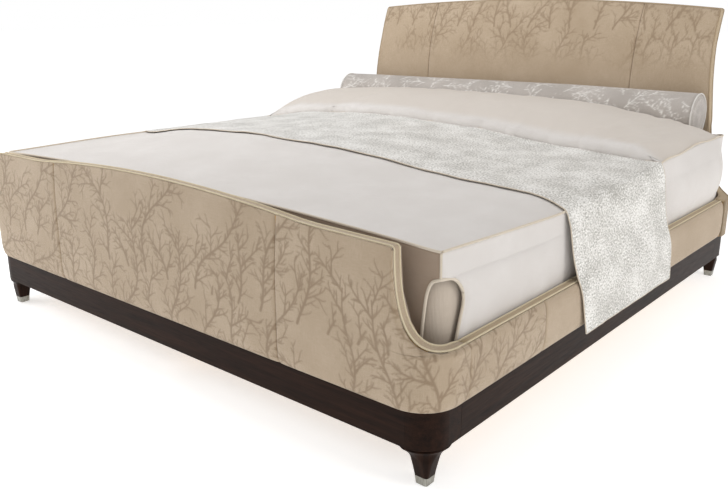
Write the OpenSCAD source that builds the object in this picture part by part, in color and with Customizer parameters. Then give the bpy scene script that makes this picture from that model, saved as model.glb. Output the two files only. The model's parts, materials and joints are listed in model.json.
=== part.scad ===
// King size upholstered sleigh bed, dressed with its bedding.
// Origin: on the floor, at the centre of the overall footprint. +X is to the right for a person
// who stands at the foot and faces the head, +Y runs from foot to head, +Z is up.
// Modules draw in bed coordinates, where y = 0 is the outer face of the footboard. place() moves
// the result into the frame above.

/* [Mattress] */
// Width of the mattress
mattress_w = 1930; // [1900:5:1940]
// Length of the mattress
mattress_l = 2030; // [1980:5:2040]
// Thickness of the mattress
mattress_h = 280; // [220:5:300]
// Thickness of the low foundation under the mattress
foundation_h = 125; // [100:5:140]

/* [Plinth and legs] */
// Height of the wooden plinth above the floor
plinth_z = 102; // [90:1:120]
// Height of the wooden plinth board
plinth_h = 100; // [90:1:110]
// How far the upholstery stands out beyond the wood
overhang = 20; // [12:1:26]
// Width of a front leg at the floor
front_leg_w = 34; // [30:1:44]
// Width of a rear leg at the floor
rear_leg_w = 30; // [28:1:40]

/* [Upholstered frame] */
// Height of the side rails above the floor
rail_top_z = 350; // [330:1:370]
// Height of the footboard's straight shoulders
foot_shoulder_z = 598; // [560:1:640]
// Rise of the footboard's crown above its shoulders
foot_crown = 33; // [0:1:60]
// Height of the headboard at its crown
head_top_z = 1124; // [1060:1:1200]
// Drop of the headboard's top edge from the crown to the corners
head_crown = 38; // [10:1:60]
// How far the top of the headboard curls back
head_curl = 71; // [30:1:110]
// Diameter of the welt cord along the edges
welt_d = 5.4; // [4:0.2:8]

/* [Bolster] */
// Diameter of the bolster
bolster_d = 188; // [160:2:200]
// Length of the bolster
bolster_l = 1860; // [1500:10:1900]

/* [Hidden] */
$fn = 64;
eps = 0.01;
gap = 0.3;

// Upholstered wall: depths are measured inwards from the outer face
cover_t = 14.6;
core_d1 = 40;
wall_t = 44;
band_d0 = 20.5;
band_d1 = 35;
band_t = 3;
outer_welt_d = 17.5;
inner_welt_d = 38;
edge_inset = band_t + 1.6;
welt_r = welt_d / 2;

// Plan of the bed
side_gap = 21;
half_w = mattress_w / 2 + side_gap + wall_t;
foot_gap = 50;
head_gap = 2;
mattress_y0 = wall_t + foot_gap;
mattress_y1 = mattress_y0 + mattress_l;
head_front_y = mattress_y1 + head_gap;
head_back_y = head_front_y + wall_t;
front_r = 115;
rear_r = 140;
foot_joint_y = 147;
head_joint_y = head_back_y - rear_r - 35;
joint_gap = 0.5;

// Plinth
plinth_t = 22;
plinth_top = plinth_z + plinth_h;
plinth_x = half_w - overhang;
plinth_y0 = overhang;
plinth_y1 = head_back_y - overhang;
plinth_front_r = 75;
plinth_rear_r = 85;
cover_z0 = plinth_top + 1;

// Footboard outline
foot_seam_x = 525;
foot_edge_x = half_w - 130;
foot_crown_x = 620;
foot_corner_z = foot_shoulder_z - 4;
foot_drop_z = foot_corner_z - 3;
sweep_n = 2.4;
corner_r = 8;
foot_z_max = foot_shoulder_z + foot_crown + 4;

// Headboard outline and backward curl
head_seam_x = 537;
head_corner_x = half_w - 170;
head_edge_x = half_w - 144;
head_corner_z = head_top_z - head_crown;
head_wide_z = 950;
head_drop_z = 600;
curl_z0 = 750;
curl_span = 330;
head_cover_t = 9;
head_core_d1 = 35;
overall_l = head_back_y + head_curl * pow((head_top_z - curl_z0) / curl_span, 2);

// Legs: centre of a leg measured in from the plinth's outer faces
front_leg_in = 46;
rear_leg_in = 42;
ferrule_h = 23;
tenon_r = 11;
post_r = 15;
post_in = 10;
block_t = 25;
block_z = plinth_z + 26;
bolt_r = 5;
bolt_l = 60;
bolt_head_h = 7;

// Slatted base
ledger_w = 25;
ledger_h = 30;
slat_t = 20;
slat_w = 70;
slat_count = 14;
slat_z = plinth_z + 10 + ledger_h;
slat_half = plinth_x - plinth_t - 8;
beam_w = 89;
beam_h = 38;
beam_z = slat_z - beam_h;
foundation_z = slat_z + slat_t;
mattress_z = foundation_z + foundation_h;
mattress_top = mattress_z + mattress_h;
beam_y0 = plinth_y0 + plinth_t + 6;
beam_y1 = plinth_y1 - plinth_t - 6;
bracket_t = 5;

// Centre legs with screw levellers
centre_leg_y = [460, 1110, 1760];
centre_leg_r = 22;
centre_leg_z = 34;
leveller_pad_r = 17;
leveller_pad_h = 10;
stud_r = 5;
stud_top = 62;
insert_r = 9;
insert_h = 14;
run_clear = 0.08;

// Rail hardware
hook_plate = [4, 60, 120];
hook_r = 5;
hook_len = 9;

// Bedding
coverlet_t = 10;
coverlet_hem_z = 300;
mattress_r = 55;
mattress_rear_r = 90;
pillow_y0 = 1430;
pillow_y1 = 1905;
pillow_h = 92;
pillow_r = 60;
pillow_x0 = 8;
pillow_x1 = 925;
arch_w = 75;
arch_top_z = 512;
runner_y0 = 700;
runner_y1 = 1380;
runner_t = 4;
runner_hem_z = 185;
runner_x = half_w + 4;
bolster_y = head_front_y - bolster_d / 2 - 2;
bolster_z = mattress_top + coverlet_t + bolster_d / 2 + 1;
bolster_shift = -50;

// ---------------------------------------------------------------- functions

// Height of the footboard's top edge at a distance x from the middle
function foot_top(x) = x < foot_crown_x
    ? foot_shoulder_z + foot_crown * (1 - pow(x / foot_crown_x, 2))
    : foot_shoulder_z - (foot_shoulder_z - foot_corner_z) * (x - foot_crown_x) / (foot_edge_x - foot_crown_x);

// Height of the headboard's top edge
function head_top(x) = head_top_z - head_crown * pow(x / head_corner_x, 2);

// Half width of the headboard at a height above its sweep
function head_side(z) = head_corner_x
    + (head_edge_x - head_corner_x) * min(1, pow(max(0, head_wide_z - z) / (head_wide_z - 650), 1.2));

// How far the headboard has curled back at a height
function curl(z) = head_curl * pow(max(0, z - curl_z0) / curl_span, 2);

// Height of a sweep that falls from (x0, z0) to the rail's top at the bed's outer face
function sweep_z(x, x0, z0) =
    z0 - (z0 - rail_top_z) * pow(1 - pow(max(0, half_w - x) / (half_w - x0), sweep_n), 1 / sweep_n);

// Points of the same sweep for a front outline
function sweep_points(x0, z0, steps) = [
    for (i = [1 : steps])
        let (a = 90 * i / steps)
        [half_w - (half_w - x0) * pow(cos(a), 2 / sweep_n),
         z0 - (z0 - rail_top_z) * pow(sin(a), 2 / sweep_n)]
];

// Rounded top corner of an outline
function corner_points(x, z, r) = [for (a = [90, 60, 30, 0]) [x - r + r * cos(a), z - r + r * sin(a)]];

// Right half of the footboard's outline, from the top middle down to the rail's top
function foot_half() = concat(
    [for (i = [0 : 10]) let (x = foot_crown_x * i / 10) [x, foot_top(x)]],
    corner_points(foot_edge_x, foot_corner_z, corner_r),
    sweep_points(foot_edge_x, foot_drop_z, 14)
);

// Right half of the headboard's outline
function head_half() = concat(
    [for (i = [0 : 9]) let (x = (head_corner_x - corner_r) * i / 10) [x, head_top(x)]],
    corner_points(head_corner_x, head_corner_z, corner_r),
    [for (i = [1 : 9]) let (z = head_corner_z - i * 52) if (z > head_drop_z + 8) [head_side(z), z]],
    [[head_edge_x, head_drop_z]],
    sweep_points(head_edge_x, head_drop_z, 14)
);

// A polyline moved to its right-hand side by a distance, which is inwards for the outlines
function inset(pts, d) = [
    for (i = [0 : len(pts) - 1])
        let (a = pts[max(i - 1, 0)], b = pts[min(i + 1, len(pts) - 1)], t = (b - a) / norm(b - a))
        i == 0 ? [0, pts[0][1] - d] : pts[i] + d * [t[1], -t[0]]
];

function mirrored(pts) = [for (i = [len(pts) - 1 : -1 : 1]) [-pts[i][0], pts[i][1]]];

// Closed outline polygon of both halves, down to a base height
function outline(half, d, z0) = let (h = inset(half, d)) concat(
    mirrored(h), h, [[half_w + 5, h[len(h) - 1][1]], [half_w + 5, z0], [-half_w - 5, z0],
    [-half_w - 5, h[len(h) - 1][1]]]
);

// Outer faces of the wall as [depth, height]
rail_face = [[12.5, cover_z0], [5, 212], [1, 230], [0, 252], [0, 312], [3, 332],
             [10, rail_top_z - edge_inset]];
foot_face = [[12.5, cover_z0], [5, 212], [1, 230], [0, 252], [0, 430], [1.5, 490], [4.5, 540],
             [8.5, 580], [12, 606], [12.5, foot_z_max]];

function slab(d0, d1, z0, z1) = [[d0, z0], [d1, z0], [d1, z1], [d0, z1]];
function cover_section(face) = concat(face, [[cover_t, face[len(face) - 1][1]], [cover_t, cover_z0]]);

// Wall section of the headboard between two depths from its back, curled above curl_z0
function head_section(d0, d1, z1) = let (n = 12) concat(
    [for (i = [0 : n]) let (z = i == 0 ? cover_z0 : curl_z0 + (z1 - curl_z0) * (i - 1) / (n - 1))
        [d0 - curl(z), z]],
    [for (i = [n : -1 : 0]) let (z = i == 0 ? cover_z0 : curl_z0 + (z1 - curl_z0) * (i - 1) / (n - 1))
        [d1 - curl(z), z]]
);

// Route of a footboard welt at a depth: [point, plan direction inwards]
function foot_route_half(d) = concat(
    [for (i = [0 : 8]) let (x = foot_crown_x * i / 8) [[x, d, foot_top(x)], [0, 1, 0]]],
    [for (x = [700, 800, foot_edge_x - corner_r]) [[x, d, foot_top(x)], [0, 1, 0]]],
    [for (a = [8, 14, 20])
        let (x = half_w - (half_w - foot_edge_x) * pow(cos(a), 2 / sweep_n))
        if (x < half_w - front_r) [[x, d, sweep_z(x, foot_edge_x, foot_drop_z)], [0, 1, 0]]],
    [for (a = [0 : 10 : 90])
        let (x = half_w - front_r + (front_r - d) * sin(a), y = front_r - (front_r - d) * cos(a))
        [[x, y, sweep_z(x, foot_edge_x, foot_drop_z)], [-sin(a), cos(a), 0]]],
    [[[half_w - d, foot_joint_y - joint_gap, rail_top_z], [-1, 0, 0]]]
);

// Route of a headboard welt at a depth from the back face
function head_route_half(d) = concat(
    [for (i = [0 : 8])
        let (x = (head_corner_x - corner_r) * i / 8, z = head_top(x))
        [[x, head_back_y - d + curl(z), z], [0, -1, 0]]],
    [for (i = [0 : 9])
        let (z = head_corner_z - corner_r - i * 50)
        if (z > head_drop_z + 8) [[head_side(z), head_back_y - d + curl(z), z], [0, -1, 0]]],
    [for (a = [0 : 10 : 90])
        let (x = half_w - rear_r + (rear_r - d) * sin(a), y = head_back_y - rear_r + (rear_r - d) * cos(a))
        [[x, y, sweep_z(max(x, head_edge_x), head_edge_x, head_drop_z)], [-sin(a), -cos(a), 0]]],
    [[[half_w - d, head_joint_y + joint_gap, rail_top_z], [-1, 0, 0]]]
);

function flip_route(r) = [
    for (i = [len(r) - 1 : -1 : 1])
        [[-r[i][0][0], r[i][0][1], r[i][0][2]], [-r[i][1][0], r[i][1][1], r[i][1][2]]]
];

function unit(v) = v / norm(v);

// Half size of a leg at a height: slender foot, straight taper, then a flare into the plinth
function leg_half(z, w, flare) = w / 2 + 13 * pow(z / 80, 1.3)
    + flare * (1 - sqrt(1 - pow(max(0, z - (plinth_z - flare)) / flare, 2) * 0.999));

// One ring of a leg: outer sides never pass the plinth's faces, inner sides may flare further
function leg_ring(z, w, flare, limit, inner_limit) = let (
    h = leg_half(z, w, flare), o = min(h, limit), n = min(h, inner_limit),
    ro = min(0.35 * h + 0.012 * z * z / 4, 0.8 * o), ri = 0.32 * h)
    [for (c = [[1, -1, o, o, ro], [1, 1, o, n, ri], [-1, 1, n, n, ri], [-1, -1, n, o, ri]],
          k = [0 : 4])
        let (base = c[0] > 0 ? (c[1] > 0 ? 0 : -90) : (c[1] > 0 ? 90 : 180), a = base + 22.5 * k)
        [c[0] * (c[2] - c[4]) + c[4] * cos(a), c[1] * (c[3] - c[4]) + c[4] * sin(a), z]];

// ---------------------------------------------------------------- building blocks

module place() translate([0, -overall_l / 2, 0]) children();
module on_side(s) mirror([s < 0 ? 1 : 0, 0, 0]) children();
module both_sides() for (s = [-1, 1]) on_side(s) children();

// Section [depth, height] run straight across the foot, from x0 to x1
module foot_run(section, x0, x1)
    translate([x0, 0, 0]) rotate([90, 0, 90]) linear_extrude(x1 - x0) polygon(section);

// Section carried round the front right corner and back to the joint with the rail
module foot_wing(section) {
    translate([half_w - front_r, front_r, 0]) rotate([0, 0, -90]) rotate_extrude(angle = 90, $fn = 96)
        polygon([for (p = section) [front_r - p[0], p[1]]]);
    side_run(section, front_r, foot_joint_y - joint_gap);
}

// Section run straight along the right side, from y0 to y1
module side_run(section, y0, y1)
    translate([half_w, y1, 0]) rotate([90, 0, 0]) linear_extrude(y1 - y0)
        polygon([for (p = section) [-p[0], p[1]]]);

// Section across the head, where depth is measured from the back face
module head_run(section, x0, x1)
    translate([x0, head_back_y, 0]) rotate([90, 0, 90]) linear_extrude(x1 - x0)
        polygon([for (p = section) [-p[0], p[1]]]);

module head_wing(section) {
    translate([half_w - rear_r, head_back_y - rear_r, 0]) rotate_extrude(angle = 90, $fn = 96)
        polygon([for (p = section) [rear_r - p[0], p[1]]]);
    side_run(section, head_joint_y + joint_gap, head_back_y - rear_r);
}

// Space inside the footboard's or the headboard's outline, inset from its edge
module within(half, d, y0, y1)
    translate([0, y1, 0]) rotate([90, 0, 0]) linear_extrude(y1 - y0)
        polygon(outline(half, d, plinth_z));

module within_foot(d) within(foot_half(), d, -20, foot_joint_y + 5);
module within_head(d) within(head_half(), d, head_joint_y - 5, overall_l + 20);

// Tube swept along a route of [point, plan direction inwards]
module tube(route, r, sides = 8) {
    n = len(route);
    pts = [for (i = [0 : n - 1])
        let (t = unit(route[min(i + 1, n - 1)][0] - route[max(i - 1, 0)][0]),
             b = unit(cross(t, route[i][1])), m = unit(cross(b, t)))
        for (k = [0 : sides - 1]) let (a = 360 * k / sides)
        route[i][0] + r * (cos(a) * m + sin(a) * b)];
    walls = [for (i = [0 : n - 2], k = [0 : sides - 1])
        let (k2 = (k + 1) % sides)
        [i * sides + k, i * sides + k2, (i + 1) * sides + k2, (i + 1) * sides + k]];
    caps = [[for (k = [sides - 1 : -1 : 0]) k], [for (k = [0 : sides - 1]) (n - 1) * sides + k]];
    polyhedron(points = pts, faces = concat(walls, caps));
}

// Closed skin through a stack of rings that have the same number of points
module loft(rings) {
    m = len(rings[0]);
    n = len(rings);
    walls = [for (i = [0 : n - 2], k = [0 : m - 1])
        let (k2 = (k + 1) % m)
        [i * m + k, (i + 1) * m + k, (i + 1) * m + k2, i * m + k2]];
    caps = [[for (k = [0 : m - 1]) k], [for (k = [m - 1 : -1 : 0]) (n - 1) * m + k]];
    polyhedron(points = [for (r = rings, p = r) p], faces = concat(walls, caps));
}

// Rectangle with one radius at each pair of corners, built from exact shapes
module rounded_plan(x, y0, y1, r0, r1) {
    translate([-x, y0 + r0]) square([2 * x, y1 - y0 - r0 - r1]);
    translate([-x + r0, y0]) square([2 * (x - r0), r0 + eps]);
    translate([-x + r1, y1 - r1 - eps]) square([2 * (x - r1), r1 + eps]);
    for (s = [-1, 1]) {
        translate([s * (x - r0), y0 + r0]) circle(r0, $fn = 96);
        translate([s * (x - r1), y1 - r1]) circle(r1, $fn = 96);
    }
}

module rounded_box(x0, x1, y0, y1, z0, z1, r, rear = 0) {
    translate([(x0 + x1) / 2, 0, z0]) linear_extrude(z1 - z0)
        rounded_plan((x1 - x0) / 2, y0, y1, r, max(r, rear));
}

module plinth_ring() {
    translate([0, 0, plinth_z]) linear_extrude(plinth_h) difference() {
        rounded_plan(plinth_x, plinth_y0, plinth_y1, plinth_front_r, plinth_rear_r);
        rounded_plan(plinth_x - plinth_t, plinth_y0 + plinth_t, plinth_y1 - plinth_t,
                     plinth_front_r - plinth_t, plinth_rear_r - plinth_t);
    }
}

// Hairline between a straight piece and a bent corner piece
module glue_line(x, y) translate([x - 0.15, y, 0]) cube([0.3, overall_l, head_top_z]);

module slice_y(y0, y1) translate([-half_w, y0, 0]) cube([2 * half_w, y1 - y0, plinth_top + 10]);

// ---------------------------------------------------------------- footboard

module footboard_core() color("burlywood") place() intersection() {
    section = slab(cover_t, core_d1, cover_z0, foot_z_max);
    union() {
        foot_run(section, front_r - half_w, half_w - front_r);
        both_sides() foot_wing(section);
    }
    within_foot(edge_inset);
}

module footboard_center_panel() color("tan") place() intersection() {
    foot_run(cover_section(foot_face), -foot_seam_x + gap, foot_seam_x - gap);
    within_foot(edge_inset);
}

module footboard_side_panel(s) color("tan") place() on_side(s) intersection() {
    union() {
        foot_run(cover_section(foot_face), foot_seam_x, half_w - front_r);
        foot_wing(cover_section(foot_face));
    }
    within_foot(edge_inset);
}
module footboard_left_panel() footboard_side_panel(-1);
module footboard_right_panel() footboard_side_panel(1);

module footboard_lining() color("wheat") place() intersection() {
    section = slab(core_d1, wall_t, cover_z0, foot_z_max);
    union() {
        foot_run(section, front_r - half_w, half_w - front_r);
        both_sides() foot_wing(section);
    }
    within_foot(edge_inset + 3);
}

module footboard_edge_band() color("wheat") place() difference() {
    section = slab(band_d0, band_d1, rail_top_z - 60, foot_z_max);
    intersection() {
        union() {
            foot_run(section, front_r - half_w, half_w - front_r);
            both_sides() foot_wing(section);
        }
        within_foot(0);
    }
    within_foot(band_t);
}

module footboard_piping() color("ivory") place()
    for (d = [outer_welt_d, inner_welt_d])
        tube(concat(flip_route(foot_route_half(d)), foot_route_half(d)), welt_r);

// A straight board with a bent corner piece glued to each end
module foot_plinth() color([0.24, 0.17, 0.14]) place() difference() {
    intersection() {
        plinth_ring();
        slice_y(0, foot_joint_y - joint_gap);
    }
    both_sides() glue_line(plinth_x - plinth_front_r, 0);
}

// ---------------------------------------------------------------- side rails

module rail_part(s, section)
    place() on_side(s) side_run(section, foot_joint_y + joint_gap, head_joint_y - joint_gap);

module rail_board(s) color("burlywood")
    rail_part(s, slab(cover_t, core_d1, cover_z0, rail_top_z - edge_inset));
module left_rail_board() rail_board(-1);
module right_rail_board() rail_board(1);

module rail_cover(s) color("tan") rail_part(s, cover_section(rail_face));
module left_rail_cover() rail_cover(-1);
module right_rail_cover() rail_cover(1);

module rail_lining(s) color("wheat")
    rail_part(s, slab(core_d1, wall_t, cover_z0, rail_top_z - edge_inset - 4));
module left_rail_lining() rail_lining(-1);
module right_rail_lining() rail_lining(1);

module rail_welt(s) color("ivory") {
    rail_part(s, slab(band_d0, band_d1, rail_top_z - band_t, rail_top_z));
    place() on_side(s) for (d = [outer_welt_d, inner_welt_d])
        translate([half_w - d, foot_joint_y + joint_gap, rail_top_z]) rotate([-90, 0, 0])
            cylinder(r = welt_r, h = head_joint_y - foot_joint_y - 2 * joint_gap);
}
module left_rail_welt() rail_welt(-1);
module right_rail_welt() rail_welt(1);

module rail_plinth(s) color([0.24, 0.17, 0.14]) place() on_side(s)
    translate([plinth_x - plinth_t, foot_joint_y + joint_gap, plinth_z])
        cube([plinth_t, head_joint_y - foot_joint_y - 2 * joint_gap, plinth_h]);
module left_rail_plinth() rail_plinth(-1);
module right_rail_plinth() rail_plinth(1);

module ledger(s) color("burlywood") place() on_side(s)
    translate([plinth_x - plinth_t - ledger_w, foot_joint_y + 60, slat_z - ledger_h])
        cube([ledger_w, head_joint_y - foot_joint_y - 120, ledger_h]);
module left_ledger() ledger(-1);
module right_ledger() ledger(1);

// ---------------------------------------------------------------- headboard

module head_wall(d0, d1) {
    head_run(head_section(d0, d1, head_top_z + 6), rear_r - half_w, half_w - rear_r);
    both_sides() head_wing(slab(d0, d1, cover_z0, head_drop_z + 150));
}

// A centre panel with a bent wing glued to each side
module headboard_core() color("burlywood") place() difference() {
    intersection() {
        head_wall(head_cover_t, head_core_d1);
        within_head(edge_inset);
    }
    both_sides() glue_line(half_w - rear_r - 10, head_joint_y);
}

module headboard_back_cover() color("tan") place() difference() {
    intersection() {
        head_wall(0, head_cover_t);
        within_head(edge_inset);
    }
    both_sides() glue_line(half_w - rear_r - 10, head_joint_y);
}

module headboard_center_panel() color("tan") place() intersection() {
    head_run(head_section(head_core_d1, wall_t, head_top_z + 6), gap - head_seam_x, head_seam_x - gap);
    within_head(edge_inset);
}

module headboard_side_panel(s) color("tan") place() on_side(s) intersection() {
    union() {
        head_run(head_section(head_core_d1, wall_t, head_top_z + 6), head_seam_x, half_w - rear_r);
        head_wing(slab(head_core_d1, wall_t, cover_z0, head_drop_z + 150));
    }
    within_head(edge_inset);
}
module headboard_left_panel() headboard_side_panel(-1);
module headboard_right_panel() headboard_side_panel(1);

module headboard_edge_band() color("tan") place() difference() {
    intersection() {
        head_wall(5.5, wall_t - 5.5);
        within_head(0);
        translate([-half_w - 10, 0, rail_top_z - 60]) cube([2 * half_w + 20, overall_l + 50, head_top_z]);
    }
    within_head(band_t);
}

module headboard_piping() color("tan") place()
    for (d = [2.2, wall_t - 2.2])
        tube(concat(flip_route(head_route_half(d)), head_route_half(d)), welt_r - 0.2);

module head_plinth() color([0.24, 0.17, 0.14]) place() difference() {
    intersection() {
        plinth_ring();
        slice_y(head_joint_y + joint_gap, overall_l);
    }
    both_sides() glue_line(plinth_x - plinth_rear_r, head_joint_y);
}

// ---------------------------------------------------------------- legs

// Puts a leg shape at its corner, with the outer side towards +X and -Y
module at_corner(sx, rear) {
    inward = rear ? rear_leg_in : front_leg_in;
    y = rear ? plinth_y1 - inward : plinth_y0 + inward;
    place() translate([sx * (plinth_x - inward), y, 0])
        mirror([sx < 0 ? 1 : 0, 0, 0]) mirror([0, rear ? 1 : 0, 0]) children();
}

module leg(w, flare, limit, inner_limit) color([0.24, 0.17, 0.14]) difference() {
    union() {
        loft([for (z = [ferrule_h, 36, 50, 64, 76, 84, 90, 95, 99, plinth_z - gap])
              leg_ring(z, w, flare, limit, inner_limit)]);
        translate([0, 0, ferrule_h - 16]) cylinder(r = tenon_r, h = 17);
        translate([-post_in, post_in, plinth_z - 1])
            cylinder(r = post_r, h = block_z - gap - plinth_z + 1);
    }
    translate([-post_in, post_in, block_z - bolt_l + 12]) cylinder(r = bolt_r + 0.2, h = bolt_l);
}

module ferrule(w, flare, limit) color([0.62, 0.61, 0.58]) difference() {
    loft([for (z = [0, ferrule_h - gap]) leg_ring(z, w, flare, limit, limit)]);
    translate([0, 0, ferrule_h - 17]) cylinder(r = tenon_r + 0.1, h = 20);
}

module front_left_leg() at_corner(-1, false) leg(front_leg_w, 30, front_leg_in, 68);
module front_right_leg() at_corner(1, false) leg(front_leg_w, 30, front_leg_in, 68);
module rear_left_leg() at_corner(-1, true) leg(rear_leg_w, 12, rear_leg_in, 40);
module rear_right_leg() at_corner(1, true) leg(rear_leg_w, 12, rear_leg_in, 40);
module front_left_ferrule() at_corner(-1, false) ferrule(front_leg_w, 30, front_leg_in);
module front_right_ferrule() at_corner(1, false) ferrule(front_leg_w, 30, front_leg_in);
module rear_left_ferrule() at_corner(-1, true) ferrule(rear_leg_w, 12, rear_leg_in);
module rear_right_ferrule() at_corner(1, true) ferrule(rear_leg_w, 12, rear_leg_in);

// Draws its children at all four corners
module all_corners() for (sx = [-1, 1], rear = [false, true]) at_corner(sx, rear) children();

module corner_blocks() color("burlywood") all_corners() difference() {
    translate([0, 0, block_z]) linear_extrude(block_t)
        polygon([[0, 0], [10, 26], [-6, 62], [-62, 62], [-62, 6], [-26, -10]]);
    translate([-post_in, post_in, block_z - 1]) cylinder(r = bolt_r + 0.2, h = block_t + 2);
}

module leg_bolts() color("silver") all_corners() translate([-post_in, post_in, 0]) {
    translate([0, 0, block_z - bolt_l + 14]) cylinder(r = bolt_r, h = bolt_l + block_t - 12);
    translate([0, 0, block_z + block_t + 0.1]) cylinder(r = 9, h = bolt_head_h, $fn = 6);
}

// ---------------------------------------------------------------- slatted base

module center_beam() color("burlywood") place()
    difference() {
        translate([-beam_w / 2, beam_y0, beam_z]) cube([beam_w, beam_y1 - beam_y0, beam_h]);
        for (y = centre_leg_y) translate([0, y, beam_z - 1]) cylinder(r = 12.2, h = 21);
    }

module beam_brackets() color("silver") place()
    for (end = [[beam_y0, -1], [beam_y1, 1]]) translate([0, end[0], 0]) mirror([0, end[1] < 0 ? 0 : 1, 0]) {
        translate([-30, -6, beam_z - bracket_t]) cube([60, 56, bracket_t]);
        translate([-30, -6, beam_z]) cube([60, bracket_t, beam_h]);
    }

module slats() color("burlywood") place()
    for (i = [0 : slat_count - 1])
        let (y0 = foot_joint_y + 70, y1 = head_joint_y - 70 - slat_w)
        translate([-slat_half, y0 + (y1 - y0) * i / (slat_count - 1), slat_z])
            cube([2 * slat_half, slat_w, slat_t]);

module center_leg(i) color("burlywood") place() translate([0, centre_leg_y[i], 0]) difference() {
    union() {
        translate([0, 0, centre_leg_z]) cylinder(r = centre_leg_r, h = beam_z - centre_leg_z);
        translate([0, 0, beam_z - 1]) cylinder(r = 12, h = 20);
    }
    translate([0, 0, centre_leg_z - 1]) cylinder(r = insert_r, h = insert_h + 1);
    translate([0, 0, centre_leg_z]) cylinder(r = stud_r + 1, h = stud_top - centre_leg_z + 16);
}
module center_leg_foot() center_leg(0);
module center_leg_middle() center_leg(1);
module center_leg_head() center_leg(2);

module leg_inserts() color("silver") place() for (y = centre_leg_y) translate([0, y, centre_leg_z])
    difference() {
        cylinder(r = insert_r, h = insert_h);
        translate([0, 0, -1]) cylinder(r = stud_r + run_clear, h = insert_h + 2);
    }

module leveller_stud(i) color("silver") place() translate([0, centre_leg_y[i], 0]) {
    translate([0, 0, 6]) cylinder(r = stud_r, h = stud_top - 6);
    translate([0, 0, leveller_pad_h + 1]) cylinder(r = 8, h = 5, $fn = 6);
}
module leveller_stud_foot() leveller_stud(0);
module leveller_stud_middle() leveller_stud(1);
module leveller_stud_head() leveller_stud(2);

module leveller_pad(i) color("dimgray") place() translate([0, centre_leg_y[i], 0]) difference() {
    cylinder(r = leveller_pad_r, h = leveller_pad_h);
    translate([0, 0, 5.5]) cylinder(r = stud_r + run_clear, h = leveller_pad_h);
}
module leveller_pad_foot() leveller_pad(0);
module leveller_pad_middle() leveller_pad(1);
module leveller_pad_head() leveller_pad(2);

// ---------------------------------------------------------------- rail hardware

// One plate at each end of each rail: the hooks drop into the slots of the plate beside it
module at_joints() for (s = [-1, 1], end = [[foot_joint_y, -1], [head_joint_y, 1]])
    place() translate([s * (plinth_x - plinth_t), end[0], plinth_z + 10])
        mirror([s > 0 ? 1 : 0, 0, 0]) mirror([0, end[1] < 0 ? 0 : 1, 0]) children();

module rail_hook_plates() color("gray") at_joints() {
    translate([0, 0.6, 0]) cube([hook_plate[0], 52, 82]);
    for (z = [18, 58]) translate([0, -hook_len, z]) cube([hook_plate[0], hook_len + 1, 8]);
}

module rail_receiver_plates() color("gray") at_joints() difference() {
    translate([0, -46, 0]) cube([hook_plate[0], 45, 82]);
    for (z = [17, 57]) translate([-1, -hook_len - 1, z]) cube([hook_plate[0] + 2, hook_len + 2, 10]);
}

// ---------------------------------------------------------------- bedding

module foundation() color("whitesmoke") place()
    rounded_box(-mattress_w / 2 + 8, mattress_w / 2 - 8, mattress_y0 + 8, mattress_y1 - 8,
                foundation_z, mattress_z - 0.5, 45);

module mattress() color("white") place()
    rounded_box(-mattress_w / 2, mattress_w / 2, mattress_y0, mattress_y1,
                mattress_z, mattress_top, mattress_r, mattress_rear_r);

module pillow(s) color("white") place() on_side(s)
    rounded_box(pillow_x0, pillow_x1, pillow_y0, pillow_y1, mattress_top + gap,
                mattress_top + pillow_h, pillow_r);
module left_pillow() pillow(-1);
module right_pillow() pillow(1);

module arch_cut(s) on_side(s) {
    x = mattress_w / 2 + coverlet_t;
    y = mattress_y0 - coverlet_t;
    translate([x - arch_w, y - 1, 0]) {
        translate([0, 0, coverlet_hem_z - 1]) cube([arch_w + 2, arch_w + 1, arch_top_z - coverlet_hem_z - arch_w]);
        translate([arch_w, 0, arch_top_z - arch_w - 2]) rotate([-90, 0, 0])
            cylinder(r = arch_w, h = arch_w + 1);
        translate([arch_w + 1, arch_w / 2 + 1, arch_top_z - arch_w - 2]) rotate([0, -90, 0])
            cylinder(r = arch_w / 2, h = arch_w + 1);
    }
}

module coverlet() color("linen") place() difference() {
    t = coverlet_t;
    union() {
        rounded_box(-mattress_w / 2 - t, mattress_w / 2 + t, mattress_y0 - t, mattress_y1 - eps,
                    coverlet_hem_z, mattress_top + t, mattress_r + t, mattress_rear_r + t);
        rounded_box(-pillow_x1 - t, pillow_x1 + t, pillow_y0 - t, pillow_y1 + t,
                    mattress_top, mattress_top + pillow_h + t, pillow_r + t);
    }
    rounded_box(-mattress_w / 2 - gap, mattress_w / 2 + gap, mattress_y0 - gap, mattress_y1 + t,
                coverlet_hem_z - 1, mattress_top + gap, mattress_r, mattress_rear_r);
    rounded_box(-pillow_x1 - gap, pillow_x1 + gap, pillow_y0 - gap, pillow_y1 + gap,
                mattress_top - 1, mattress_top + pillow_h + gap, pillow_r);
    for (s = [-1, 1]) arch_cut(s);
}

// Runner: a thin strip over the bed, hanging outside both rails
module runner() color("gainsboro") place() {
    zt = mattress_top + coverlet_t + 1;
    x = mattress_w / 2 + coverlet_t;
    half = [[0, zt], [x + 1, zt], [x + 6, zt - 14], [runner_x, rail_top_z + 40],
            [runner_x, runner_hem_z]];
    outer = inset(half, -runner_t);
    translate([0, runner_y1, 0]) rotate([90, 0, 0]) linear_extrude(runner_y1 - runner_y0)
        polygon(concat(mirrored(half), half, [for (i = [len(outer) - 1 : -1 : 0]) outer[i]],
                [for (i = [1 : len(outer) - 1]) [-outer[i][0], outer[i][1]]]));
}

module bolster() color("silver") place()
    translate([bolster_shift - bolster_l / 2, bolster_y, bolster_z]) rotate([0, 90, 0])
        cylinder(d = bolster_d, h = bolster_l);

// ---------------------------------------------------------------- nodes

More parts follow.
